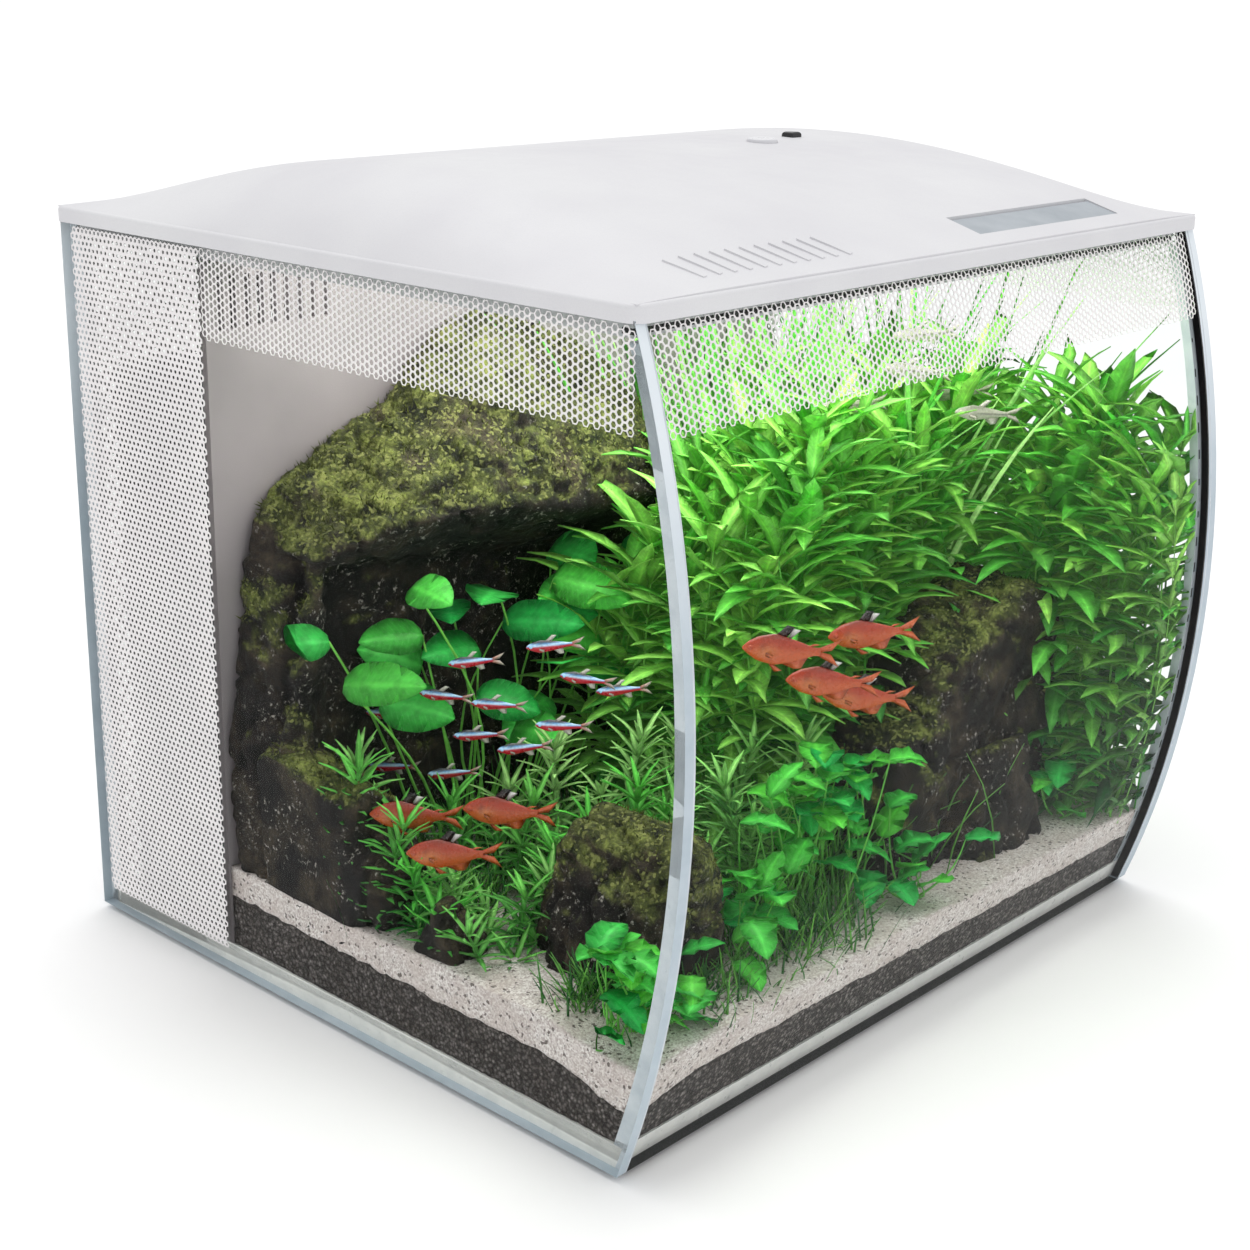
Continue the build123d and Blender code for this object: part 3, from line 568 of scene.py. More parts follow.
def inside(points, front_gap, gap):
    """Moves points that lie in or beyond the glass or the divider back inside."""
    front = bow_y(np.clip(points[:, 2], 5, 350), front_gap)
    points[:, 0] = np.clip(points[:, 0], gap - GLASS_IN, GLASS_IN - gap)
    points[:, 1] = np.clip(points[:, 1], front, DIVIDER - gap)


def settle(made):
    """Applies the object's modifiers, so that its mesh is the final one."""
    graph = bpy.context.evaluated_depsgraph_get()
    shape = bpy.data.meshes.new_from_object(made.evaluated_get(graph))
    made.modifiers.clear()
    made.data = shape
    return made


def evened(name, mesh, voxel, passes):
    """Object with the mesh rebuilt from even voxels and smoothed."""
    made = link(name, mesh)
    remesh = made.modifiers.new("even", "REMESH")
    remesh.mode, remesh.voxel_size = "VOXEL", voxel * MM
    made.modifiers.new("soften", "SMOOTH").iterations = passes
    return settle(made)


class Growth:
    """Closed lofts such as leaves, stems and fins, gathered into one mesh."""

    def __init__(self):
        self.points, self.faces, self.tints, self.leaf = [], [], [], []
        self.count = 0

    def loft(self, rings, tint, leaf=None):
        """Skin through rings of points, with both ends closed."""
        rows, around = rings.shape[:2]
        j = np.arange(around)
        k = (j + 1) % around
        start = self.count + np.arange(rows - 1)[:, None] * around
        quads = np.stack([start + j, start + k, start + around + k, start + around + j], -1)
        self.faces += quads.reshape(-1, 4).tolist()
        first, last = self.count, self.count + (rows - 1) * around
        self.faces += [list(range(first + around - 1, first - 1, -1))]
        self.faces += [list(range(last, last + around))]
        self.points.append(rings.reshape(-1, 3))
        shape = (rows, around, 3)
        self.tints.append(np.broadcast_to(tint, shape).reshape(-1, 3))
        flat = np.zeros(shape) if leaf is None else leaf
        self.leaf.append(np.broadcast_to(flat, shape).reshape(-1, 3))
        self.count += rows * around

    def blade(self, root, heading, length, width, tint, bend, form, rows, **more):
        """Leaf from root along heading. form sets how soon it widens and how it tapers.

        more may hold sag, the way it bends; face, square to its width; cup, thick and ripple."""
        sag = more.get("sag", -UP)
        cup, thick, ripple = more.get("cup", 0.25), more.get("thick", 0.28), more.get("ripple", 0)
        t = np.linspace(0, 1, rows)
        headings = [unit(np.asarray(heading, float))]
        for _ in t[1:]:
            headings.append(unit(headings[-1] + sag * bend / (rows - 1)))
        headings = np.array(headings)
        steps = (headings[1:] + headings[:-1]) / 2 * length / (rows - 1)
        line = np.vstack([[0, 0, 0], np.cumsum(steps, 0)]) + root
        side = np.cross(headings, more.get("face", UP))
        side = unit(side + 1e-6)
        out = np.cross(side, headings)
        a, b = form
        profile = (t + 0.02) ** a * (1.005 - t) ** b
        half = (width * profile / profile.max() + 0.12)[:, None]
        wave = ripple * half * np.sin(t * 17 + root[0])[:, None]
        rings = np.stack(
            [
                line + side * half + out * (cup * half + wave),
                line + out * thick,
                line - side * half + out * (cup * half - wave),
                line - out * thick,
            ],
            1,
        )
        # Painted shade and light: each leaf darker at its base and lighter towards its tip.
        shades = mix(np.asarray(tint) * 0.75, np.asarray(tint) * 1.12, t)[:, None, :]
        leaf = np.zeros((rows, 4, 3))
        leaf[:, 0::2, 0] = 1
        leaf[:, :, 1] = (t * length)[:, None]
        self.loft(rings, np.repeat(shades, 4, 1), leaf)
        return line

    def stalk(self, line, radius, tint):
        """Four-sided stem along a line, thinner to its tip."""
        line = np.asarray(line, float)
        along = unit(np.gradient(line, axis=0))
        side = unit(np.cross(along, (0.31, 0.92, 0.17)))
        out = np.cross(along, side)
        taper = radius * np.linspace(1, 0.55, len(line))[:, None, None]
        angle = np.arange(4) * math.tau / 4
        c, s = np.cos(angle)[None, :, None], np.sin(angle)[None, :, None]
        turn = c * side[:, None] + s * out[:, None]
        leaf = np.zeros((len(line), 4, 3)) + (1, 0, 0)
        self.loft(line[:, None] + turn * taper, tint, leaf)

    def build(self, name, look, slot):
        """Piece from all the lofts, kept inside the glass."""
        points = np.concatenate(self.points)
        inside(points, 5.6, 0.6)
        tints, leaf = np.concatenate(self.tints), np.concatenate(self.leaf)
        return piece(name, points, self.faces, look, tints, leaf)


# -------- printed honeycomb

CELL = 3.2  # pitch of the printed cells
BAND_HOLE, STRIP_HOLE = 2.75, 1.85
BACK_CELL, BACK_HOLE = 5.6, 3.4  # the back's coarser print
BAND_LOW, PRINT_TOP = 310.0, 351.4
FILM = 0.28  # thickness of the film
LIFT = 0.02  # gap between the glass and the film, so that the faces don't coincide
ROOT3 = math.sqrt(3)


def cell_grid(low, high, pitch, upright):
    """Centres of whole hexagons inside a rectangle; upright puts neighbours above each other."""
    near, far = (pitch, pitch * ROOT3 / 2) if upright else (pitch * ROOT3 / 2, pitch)
    span = np.asarray(high, float) - low
    edge_u, edge_v = (pitch, pitch * 1.5) if upright else (pitch * 1.5, pitch)
    start_u, start_v = (pitch * 0.6, pitch / 2) if upright else (pitch / 2, pitch * 0.6)
    u = low[0] + start_u + far * np.arange(int((span[0] - edge_u) / far) + 1)
    v = low[1] + start_v + near * np.arange(int((span[1] - edge_v) / near) + 1)
    uu, vv = np.meshgrid(u, v, indexing="ij")
    if upright:
        vv = vv + (np.arange(len(u)) % 2)[:, None] * pitch / 2
    else:
        uu = uu + (np.arange(len(v)) % 2)[None, :] * pitch / 2
    return np.stack([uu.ravel(), vv.ravel()], 1)


def honeycomb(fields):
    """Flat rings round the holes of each field of cells: points (u, v) and faces."""
    points, faces, count = [], [], 0
    for centres, pitch, hole, upright in fields:
        turn = np.arange(6) * math.tau / 6 + (0 if upright else math.tau / 12)
        ring = np.stack([np.cos(turn), np.sin(turn)], 1)
        outer = centres[:, None] + ring * pitch / ROOT3
        inner = centres[:, None] + ring * hole / 2
        both = np.concatenate([outer, inner], 1)
        base = count + 12 * np.arange(len(centres))[:, None]
        j = np.arange(6)
        k = (j + 1) % 6
        quads = np.stack([base + j, base + k, base + 6 + k, base + 6 + j], -1)
        faces += quads.reshape(-1, 4).tolist()
        points.append(both.reshape(-1, 2))
        count += 12 * len(centres)
    return np.concatenate(points), faces


def printed(name, fields, place):
    """Honeycomb film; place turns its (u, v) into points on the glass."""
    flat, faces = honeycomb(fields)
    title = name.replace("print", "honeycomb")
    made = piece(title, place(flat), faces, print_white, smooth=False, outward=False)
    joined(made.data, 0.08, outward=False)
    film = made.modifiers.new("film", "SOLIDIFY")
    film.thickness, film.offset = FILM * MM, 1.0
    settle(made)
    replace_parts(made, name)


def on_side(side):
    """Points on a side pane's outer face; u runs from front to back."""

    def place(flat):
        return np.stack([np.full(len(flat), side * (GLASS_OUT + LIFT)), flat[:, 0], flat[:, 1]], 1)

    return place


def on_front(flat):
    """Points on the front pane's outer face; u runs from left to right."""
    return np.stack([flat[:, 0], bow_y(flat[:, 1]) - LIFT, flat[:, 1]], 1)


def on_back(flat):
    """Points on the back pane's outer face; u runs from left to right."""
    return np.stack([flat[:, 0], np.full(len(flat), BACK_OUT + LIFT), flat[:, 1]], 1)


def field(low, high, pitch, hole, upright):
    """Rectangle of cells, with what honeycomb() needs to know of it."""
    return cell_grid(low, high, pitch, upright), pitch, hole, upright


side_fields = [
    field((-168, BAND_LOW), (87.5, PRINT_TOP), CELL, BAND_HOLE, True),
    field((88.5, 13.5), (189, PRINT_TOP), CELL, STRIP_HOLE, False),
]
front_field = field((-197, BAND_LOW), (194, PRINT_TOP), CELL, BAND_HOLE, True)
back_field = field((-197, 9), (197, PRINT_TOP), BACK_CELL, BACK_HOLE, False)
printed("print_left", side_fields, on_side(-1))
printed("print_right", side_fields, on_side(1))
printed("print_front", [front_field], on_front)
printed("print_back", [back_field], on_back)


# -------- soil and sand


SOIL_LOW, SOIL_LEVEL, SAND_LEVEL = 13.8, 35, 51.5
BED_GAP, BED_FRONT = 0.5, 5.5  # from the panes and divider, and from the bowed pane's outer face


def soil_top(x, y):
    """Height of the soil, which dips in the front corners."""
    spot = np.stack([x, y, 0 * x], -1)
    corner = np.exp(-(((x + 196) / 22) ** 2) - ((y + 168) / 26) ** 2)
    lumps = 2.2 * layered(spot, 60, 3, 5) + 0.9 * noise(spot, 9, 6) + 0.8 * noise(spot, 3.4, 7)
    return SOIL_LEVEL + lumps - 8 * corner - 0.02 * (x + 30)


def sand_top(x, y):
    """Height of the sand, heaped towards the back and combed into low dunes."""
    spot = np.stack([x, y, 0 * x], -1)
    dune = 3.0 * layered(spot, 75, 3, 9) + 1.2 * layered(spot, 18, 3, 11)
    corner = np.exp(-(((x + 198) / 30) ** 2) - ((y + 160) / 30) ** 2)
    return SAND_LEVEL + dune - 6 * corner - 0.018 * (x + 30)


def bed(name, low, high, look, grit):
    """Layer between two height fields, granular where it meets the glass."""
    across, deep, tall = 181, 121, 11
    edge = GLASS_IN - BED_GAP
    u, v = np.linspace(-1, 1, across), np.linspace(0, 1, deep)
    points, faces = [], []

    def sheet(x, t, z):
        front = bow_y(z, BED_FRONT)
        return np.stack([x, front + (DIVIDER - BED_GAP - front) * t, z], -1)

    def grid(corners, flip):
        first = sum(len(p) for p in points)
        rows, cols = corners.shape[:2]
        points.append(corners.reshape(-1, 3))
        i = first + np.arange(rows - 1)[:, None] * cols + np.arange(cols - 1)
        quads = np.stack([i, i + 1, i + cols + 1, i + cols], -1).reshape(-1, 4)
        faces.extend((quads[:, ::-1] if flip else quads).tolist())

    def heights(x, t, part):
        front = bow_y(40.0, BED_FRONT)
        y = front + (DIVIDER - front) * t
        lowest, highest = low(x, y), high(x, y)
        return lowest + (highest - lowest) * part

    xx, tt = np.meshgrid(u * edge, v, indexing="ij")
    grid(sheet(xx, tt, heights(xx, tt, 1.0)), False)
    grid(sheet(xx, tt, heights(xx, tt, 0.0)), True)
    part = np.linspace(0, 1, tall)
    for t in (0.0, 1.0):
        xx, pp = np.meshgrid(u * edge, part, indexing="ij")
        grid(sheet(xx, t + 0 * xx, heights(xx, t + 0 * xx, pp)), t == 1.0)
    for x in (-edge, edge):
        tt, pp = np.meshgrid(v, part, indexing="ij")
        grid(sheet(x + 0 * tt, tt, heights(x + 0 * tt, tt, pp)), x < 0)
    points = np.concatenate(points)
    inward = unit(np.array([0.0, -40.0, 45.0]) - points)
    lump = 0.5 + 0.5 * noise(points, grit, 21)
    points = points + inward * (lump * grit * 0.45)[:, None]
    made = piece(name, points, faces, look, outward=False)
    joined(made.data, 0.1)
    return made


soil = bed("soil_bed", lambda x, y: SOIL_LOW + 0 * x, soil_top, soil_material(), 1.8)
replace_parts(soil, "soil_layer")
sand = bed("sand_bed", lambda x, y: soil_top(x, y) + 0.1, sand_top, sand_material(), 0.9)
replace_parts(sand, "sand_layer")


# -------- rocks

STONE_DARK, STONE_BROWN = (0.012, 0.009, 0.008), (0.060, 0.044, 0.030)
MOSS_DARK, MOSS_OLIVE = (0.014, 0.019, 0.006), (0.066, 0.078, 0.019)
MOSS_BRIGHT = (0.18, 0.21, 0.048)


def stone_look():
    """Pitted dark rock with pale mineral flecks, and granular moss over its tops."""
    s = Shader("stone", specular=0.3)
    tint = s.add("VertexColor", layer_name="tint")
    moss = s.add("Attribute", out="Fac", attribute_name="moss")
    fine, pit = s.grain(1.7, 5, 0.7), s.grain(6.5, 5, 0.65)
    # Partly grain tone, partly painted shade: colour darkens with the fine grain and the pits where
    # the bump is lowest, and lightens where it is highest.
    shade = s.span(fine, 0.33, 0.67, 0.35, 1.75)
    colour = s.scaled(tint, s.math("MULTIPLY", shade, s.span(pit, 0.35, 0.62, 0.35, 1.35)))
    bare = s.math("SUBTRACT", 1.0, moss)
    clusters = s.span(s.grain(19, 3), 0.46, 0.58)
    chips = s.math("MULTIPLY", s.span(s.grain(2.6, 5, 0.75), 0.575, 0.64), clusters)
    colour = s.blend(s.math("MULTIPLY", chips, bare), colour, (0.46, 0.42, 0.38))
    sprig = s.span(s.axis(0, s.cells(1.5, out="Color")), 0.70, 0.95, 0.0, 0.8)
    colour = s.blend(s.math("MULTIPLY", sprig, moss), colour, (0.28, 0.30, 0.09))
    relief = s.math("ADD", fine, s.math("MULTIPLY", pit, 2.0))
    return s.finish(colour, s.span(fine, 0.3, 0.7, 0.6, 0.9), s.bump(relief, 1.3))


stone_material = stone_look()
moss_material = tinted("moss", rough=0.8, relief=0.2, grain=1.0, contrast=0.3, specular=0.2)


def hull(shape, corners):
    """Adds the convex hull of the corners, with extra facets pushed a little outward."""
    facets, jitter = 26, 3.0
    corners = np.asarray(corners, float)
    middle = corners.mean(0)
    picks = rng.integers(0, len(corners), (facets, 3))
    weights = rng.dirichlet((1, 1, 1), facets)
    extra = np.einsum("ij,ijk->ik", weights, corners[picks])
    extra = middle + (extra - middle) * (1 + rng.uniform(0.02, 0.14, (facets, 1)))
    cloud = np.concatenate([corners, extra])
    cloud += rng.uniform(-jitter, jitter, cloud.shape)
    made = [shape.verts.new(Vector(c) * MM) for c in cloud]
    result = bmesh.ops.convex_hull(shape, input=made)
    waste = {v for key in ("geom_interior", "geom_unused") for v in result[key]}
    waste = [v for v in waste if isinstance(v, bmesh.types.BMVert)]
    waste = [v for v in waste if v.is_valid and not v.link_faces]
    bmesh.ops.delete(shape, geom=waste, context="VERTS")


def stone(name, chunks, voxel, moss_from, moss_share, lay):
    """Weathered rock from hulls that overlap, with moss where it faces up, and painted shade in its
    hollows and where it faces down.
    """
    shape = bmesh.new()
    for corners in chunks:
        hull(shape, corners)
    mesh = bpy.data.meshes.new(name)
    shape.to_mesh(mesh)
    shape.free()
    rough = evened(name, mesh, voxel, 3)
    mesh = rough.data
    points, normals = arrays(mesh)
    layers = (points @ unit(np.array(lay)))[:, None] * (1, 0, 0) + 0.12 * points
    crack = np.abs(layered(points, 26, 3, 31))
    bands = 1 - np.abs(noise(layers, 9, 33))
    relief = (
        3.4 * layered(points, 44, 3, 37)
        + 1.8 * bands
        + 2.4 * layered(points, 12, 4, 41)
        - 3.0 * (1 - step(0.0, 0.10, crack))
        + 0.9 * noise(points, 3.6, 43)
    )
    points = points + normals * relief[:, None]
    inside(points, 5.8, 0.8)
    mesh.vertices.foreach_set("co", (points * MM).ravel())
    mesh.update()
    fresh = arrays(mesh)[1]
    patch = layered(points, 34, 4, 47)
    height = step(moss_from - 25, moss_from + 25, points[:, 2])
    moss = step(0.12, 0.42, fresh[:, 2] * 0.75 + 0.75 * patch + moss_share + 0.5 * height - 0.38)
    brown = step(-0.25, 0.45, layered(points, 15, 4, 51))
    bare = mix(STONE_DARK, STONE_BROWN, brown)
    green = mix(MOSS_OLIVE, MOSS_BRIGHT, step(-0.25, 0.4, layered(points, 13, 4, 57)))
    green = mix(green, MOSS_DARK, step(0.0, 0.4, layered(points, 6, 3, 59)))
    green = mix(green, STONE_BROWN, 0.8 * step(0.1, 0.5, layered(points, 21, 3, 61)))
    tint = mix(bare, green, moss)
    # Painted shade: darker in the cracks and hollows of the relief.
    tint = tint * (0.30 + 0.70 * step(-3.5, 2.5, relief))[:, None]
    # Painted shade: darker where the surface faces down, under overhangs.
    tint = tint * (0.40 + 0.60 * step(-0.35, 0.35, fresh[:, 2]))[:, None]
    store(mesh, "tint", "FLOAT_COLOR", tint)
    store(mesh, "moss", "FLOAT", moss)
    dress(mesh, stone_material)
    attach(rough, "tank")
    return rough, points, fresh, moss


def tufts(points, normals, moss, density, length, low, high):
    """Short pointed tufts: closed three-sided spikes on the mossy parts of a rock."""
    chosen = np.flatnonzero(rng.random(len(points)) < density * np.clip(moss - 0.35, 0, 1))
    n = len(chosen)
    base = points[chosen] + rng.uniform(-0.8, 0.8, (n, 3))
    lean = unit(normals[chosen] + rng.normal(0, 0.45, (n, 3)) + 0.3 * UP)
    side = unit(np.cross(lean, rng.normal(0, 1, (n, 3))))
    out = np.cross(lean, side)
    size = rng.uniform(0.6, 1.0, (n, 1)) * length
    wide = size * 0.16
    tip = base + lean * size
    angle = np.arange(3) * math.tau / 3
    ring = [base + side * wide * math.cos(a) + out * wide * math.sin(a) - lean * 0.5 for a in angle]
    corners = np.stack([*ring, tip], 1).reshape(-1, 3)
    start = 4 * np.arange(n)[:, None]
    faces = np.concatenate([start + f for f in ((0, 1, 3), (1, 2, 3), (2, 0, 3), (2, 1, 0))])
    tints = mix(low, high, rng.random((n, 1)) ** 1.3)
    # Painted shade: each tuft is darkened at its base, and its tip is a little lighter.
    tints = np.repeat(tints, 4, 1) * np.array([0.5, 0.5, 0.5, 1.1])[None, :, None]
    return corners, faces.tolist(), tints.reshape(-1, 3)


def mossy(name, made, density, length, low, high):
    """Moss tufts for a rock, as a piece of their own, from the low to the high colour."""
    corners, faces, tints = tufts(*made[1:], density, length, low, high)
    inside(corners, 5.6, 0.5)
    piece(name, corners, faces, moss_material, tints, smooth=False)


def slab_points(outline, front, back, draw=0.9):
    """Corners of a chunk: an outline of (x, z) at its back, drawn in a little at its front."""
    outline = np.asarray(outline, float)
    middle = outline.mean(0)
    near = middle + (outline - middle) * draw
    lift = np.minimum(near[:, 1], outline[:, 1] - 3)
    rear = np.stack([outline[:, 0], np.full(len(outline), back), outline[:, 1]], 1)
    face = np.stack([near[:, 0], np.full(len(outline), front), lift], 1)
    return np.concatenate([rear, face])


CAVE = [
    slab_points(
        [(-191, 44), (-191, 120), (-188, 176), (-181, 222), (-158, 242), (-96, 262), (-92, 44)],
        64, 88,
    ),
    slab_points([(-112, 44), (-114, 250), (-84, 284), (-47, 297), (8, 293), (14, 44)], 66, 88),
    slab_points([(-8, 44), (-6, 290), (38, 272), (66, 244), (88, 200), (88, 44)], 66, 88),
    [
        (-180, 66, 218), (-150, 68, 244), (-90, 70, 278), (-44, 70, 298), (10, 70, 290),
        (66, 68, 246), (84, 64, 214), (-172, 40, 214), (-148, 22, 226), (-100, 15, 230),
        (-47, 12, 222), (6, 12, 215), (44, 18, 212), (72, 34, 206), (-140, 60, 200),
        (-40, 58, 190), (60, 60, 192),
    ],
    [
        (-190, 66, 60), (-188, 50, 150), (-176, 44, 214), (-160, 62, 225), (-158, 66, 60),
        (-184, 52, 60),
    ],
]
LEFT = [
    slab_points(
        [(-197, 44), (-197, 112), (-184, 122), (-162, 104), (-150, 70), (-148, 44)], 6, 62, 0.95
    ),
    slab_points([(-196, 44), (-195, 86), (-178, 96), (-156, 76), (-148, 44)], -12, 14, 0.8),
    [
        (-196, -58, 44), (-195, -34, 44), (-172, -30, 44), (-170, -58, 44), (-190, -50, 74),
        (-178, -44, 80), (-174, -56, 62),
    ],
]
CORNER = [
    slab_points(
        [(-162, 44), (-158, 84), (-146, 112), (-128, 122), (-108, 106), (-100, 44)],
        -140, -84, 0.86,
    ),
    slab_points([(-150, 44), (-146, 72), (-120, 92), (-88, 70), (-80, 44)], -118, -70, 0.85),
]
FRONT = [
    slab_points(
        [
            (24, 44), (32, 108), (56, 140), (82, 158), (126, 180), (158, 172), (166, 128),
            (162, 44),
        ],
        -136, -92, 0.9,
    ),
    slab_points([(6, 44), (12, 92), (32, 120), (60, 128), (70, 44)], -138, -96, 0.85),
    [
        (70, -128, 44), (76, -156, 44), (130, -158, 44), (148, -132, 44), (84, -146, 96),
        (118, -148, 102), (138, -132, 88), (74, -132, 90),
    ],
]
# CAD node, chunks, voxel, height and share of the moss, lay of the strata; then the density,
# length and two colours of the tufts
ROCKS = {
    "boulder": (
        "main_boulder", CAVE, 2.3, 232, 0.12, (0.35, 0.2, 0.92), 0.50, 3.4, MOSS_OLIVE, MOSS_BRIGHT,
    ),
    "left_boulder": (
        "left_rock", LEFT, 1.9, 112, -0.18, (0.1, 0.6, 0.8), 0.4, 3.0, MOSS_OLIVE, MOSS_BRIGHT,
    ),
    "corner_boulder": (
        "corner_rock", CORNER, 1.9, 80, 0.12, (0.5, -0.2, 0.8), 0.45, 3.0, MOSS_OLIVE, MOSS_BRIGHT,
    ),
    "front_boulder": (
        "front_rock", FRONT, 2.1, 165, 0.10, (-0.4, 0.1, 0.9), 0.3, 2.6, MOSS_DARK, MOSS_OLIVE,
    ),
}
for name, (node_name, chunks, voxel, height, share, lay, *tuft) in ROCKS.items():
    rock = stone(name, chunks, voxel, height, share, lay)
    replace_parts(rock[0], node_name)
    mossy(name.removesuffix("_boulder") + "_moss", rock, *tuft)


# -------- plants

LANCE, OVAL, NEEDLE = (0.75, 0.95), (0.5, 0.75), (0.25, 0.6)
DEEP, MID = (0.010, 0.095, 0.020), (0.03, 0.27, 0.04)
FRESH, LIME = (0.10, 0.56, 0.06), (0.34, 0.78, 0.12)
EMERALD, PALE = (0.018, 0.40, 0.070), (0.44, 0.78, 0.26)
leaf_look = leaf_material("leaf")
blade_look = leaf_material("grass_blade", 0.5, 0.5, 0.18)
hair_look = tinted("hair_leaf", rough=0.5, relief=0.1, grain=2.0, contrast=0.25, specular=0.3)


def heading(turn, rise):
    """Direction from a turn round Z and a rise above level, in radians."""
    level = math.cos(rise)
    return np.array([math.cos(turn) * level, math.sin(turn) * level, math.sin(rise)])


def wander(root, top, rows, drift):
    """Gently curved line from root up to top."""
    t = np.linspace(0, 1, rows)[:, None]
    side = np.array([rng.normal(0, drift), rng.normal(0, drift), 0])
    return np.asarray(root) * (1 - t) + np.asarray(top) * t + side * np.sin(t * math.pi)


def leafy_stem(
    growth, root, top, gap, leaves, length, width, shades, rise=0.5, bend=0.9, form=LANCE, rows=6
):
    """Stem with whorls of leaves, longer towards its tip; painted darker low down and brighter
    towards the tip, as shade and light from above.
    """
    tall = float(np.linalg.norm(np.subtract(top, root)))
    line = wander(root, top, 8, tall * 0.05)
    growth.stalk(line, 0.9, mix(DEEP, shades[1], 0.5))
    count = max(3, int(tall / gap))
    phase = rng.uniform(0, math.tau)
    for i in range(count):
        t = (i + 0.6) / count
        place = np.array([np.interp(t, np.linspace(0, 1, 8), line[:, a]) for a in range(3)])
        # Painted light and shade: lit runs from the dark to the bright shade with height up the
        # stem.
        lit = float(np.clip(t ** 0.9 + rng.normal(0, 0.16), 0, 1))
        for j in range(leaves):
            turn = phase + i * 1.3 + j * math.tau / leaves + rng.normal(0, 0.25)
            up = rise + 0.55 * t ** 3 + rng.normal(0, 0.12)
            grown = 0.65 + 0.45 * math.sin(min(t * 1.25, 1) * math.pi * 0.6)
            size = rng.uniform(0.75, 1.12) * grown
            tint = mix(shades[0], shades[1], lit) * rng.uniform(0.8, 1.2)
            growth.blade(
                place, heading(turn, up), length * size, width * size, tint,
                bend * rng.uniform(0.7, 1.3), form, rows, ripple=0.12,
            )


# Tall lance-leaved stems that fill the right side behind the front rock
BACK_STEMS, STEMS = 70, 118
spots = []
while len(spots) < STEMS:
    x, y = rng.uniform(-22, 192), rng.uniform(-88, 16)
    if x > 158 and rng.random() < 0.75:
        y = rng.uniform(-166, -60)
    if y < -84 and 0 < x < 168:
        continue
    if all(math.hypot(x - a, y - b) > 10.0 for a, b in spots):
        spots.append((x, y))
spots += [(rng.uniform(172, 193), rng.uniform(-176, -110)) for _ in range(20)]
back_stems, front_stems = Growth(), Growth()
for i, (x, y) in enumerate(spots):
    crown = 240 + 0.09 * x - 0.16 * (y + 40) - (0.45 * (-95 - y) if y < -95 else 0)
    top = crown + rng.uniform(-34, 14)
    top -= 0.45 * max(60 - x, 0)
    tip = (x + rng.normal(0, 7), y + rng.normal(0, 7), top)
    leafy_stem(
        back_stems if i < BACK_STEMS else front_stems, (x, y, 44), tip, gap=15, leaves=3,
        length=rng.uniform(36, 56), width=rng.uniform(3.8, 6.2),
        shades=(DEEP, mix(FRESH, LIME, rng.random())),
    )
for name, growth in (("lance_stems_back", back_stems), ("lance_stems_front", front_stems)):
    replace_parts(growth.build(name, leaf_look, "plant"), "stem_plants")

# Ribbon grass along the back right, bending over under the lid
UNDER_LID, BLADES = 337, 250
grass = Growth()
for _ in range(BLADES):
    along = rng.random()
    x = rng.uniform(84, 190)
    y = rng.uniform(10, 82) if along < 0.65 else rng.uniform(-45, 10)
    if along > 0.65:
        x = rng.uniform(158, 194)
    length = rng.uniform(215, 315)
    turn = rng.uniform(0, math.tau)
    tint = mix(FRESH, PALE, rng.random()) * rng.uniform(0.8, 1.2)
    grass.blade(
        np.array([x, y, 46.0]), heading(turn, rng.uniform(1.32, 1.52)), length,
        rng.uniform(1.7, 3.0), tint, rng.uniform(0.12, 0.75), NEEDLE, 14,
        sag=heading(turn, 0.1) - 0.35 * UP, cup=0.35,
    )
for part in grass.points:
    part[:, 2] = np.minimum(part[:, 2], UNDER_LID + 0.02 * (part[:, 2] - UNDER_LID))
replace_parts(grass.build("ribbon_grass", blade_look, "plant"), "back_grass")

# Broad-leaved plants in front of the cave
broad = Growth()
TO_FRONT_LEFT = np.array([-0.75, -0.65, 0.0])
BROAD_LEAVES = (
    (-143, 20, 199), (-184, 30, 180), (-181, 24, 160), (-102, 20, 160), (-81, 28, 182),
    (-47, 24, 182), (-25, 14, 150), (-107, 16, 137), (-57, 18, 124), (-74, 32, 164),
    (-18, 26, 172), (2, 24, 184), (-88, 10, 118), (-132, 26, 172), (-120, 40, 150), (-40, 40, 160),
    (-60, 6, 146), (-8, 8, 128), (-96, 46, 176), (-28, 44, 190), (-150, 36, 140), (20, 36, 168),
)
for x, y, z in BROAD_LEAVES:
    root = np.array([-84 + 0.35 * (x + 84), 36 + rng.uniform(-8, 8), 48.0])
    tip = np.array([x, y, z], float)
    stem = wander(root, tip, 9, 9)
    broad.stalk(stem, 0.9, mix(MID, LIME, 0.4))
    away = math.atan2(-0.2, -0.9) + rng.choice((0.0, 1.9)) + rng.uniform(-0.7, 0.7)
    tint = mix(EMERALD, (0.08, 0.52, 0.06), rng.random()) * rng.uniform(0.75, 1.15)
    broad.blade(
        stem[-1], heading(away, rng.uniform(-0.2, 0.5)), rng.uniform(30, 42),
        rng.uniform(9.5, 13), tint, rng.uniform(0.1, 0.5), OVAL, 12,
        ripple=0.05, cup=0.10, face=unit(0.9 * UP + TO_FRONT_LEFT),
    )
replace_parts(broad.build("broad_leaves", leaf_look, "plant"), "broad_leaf_plant")

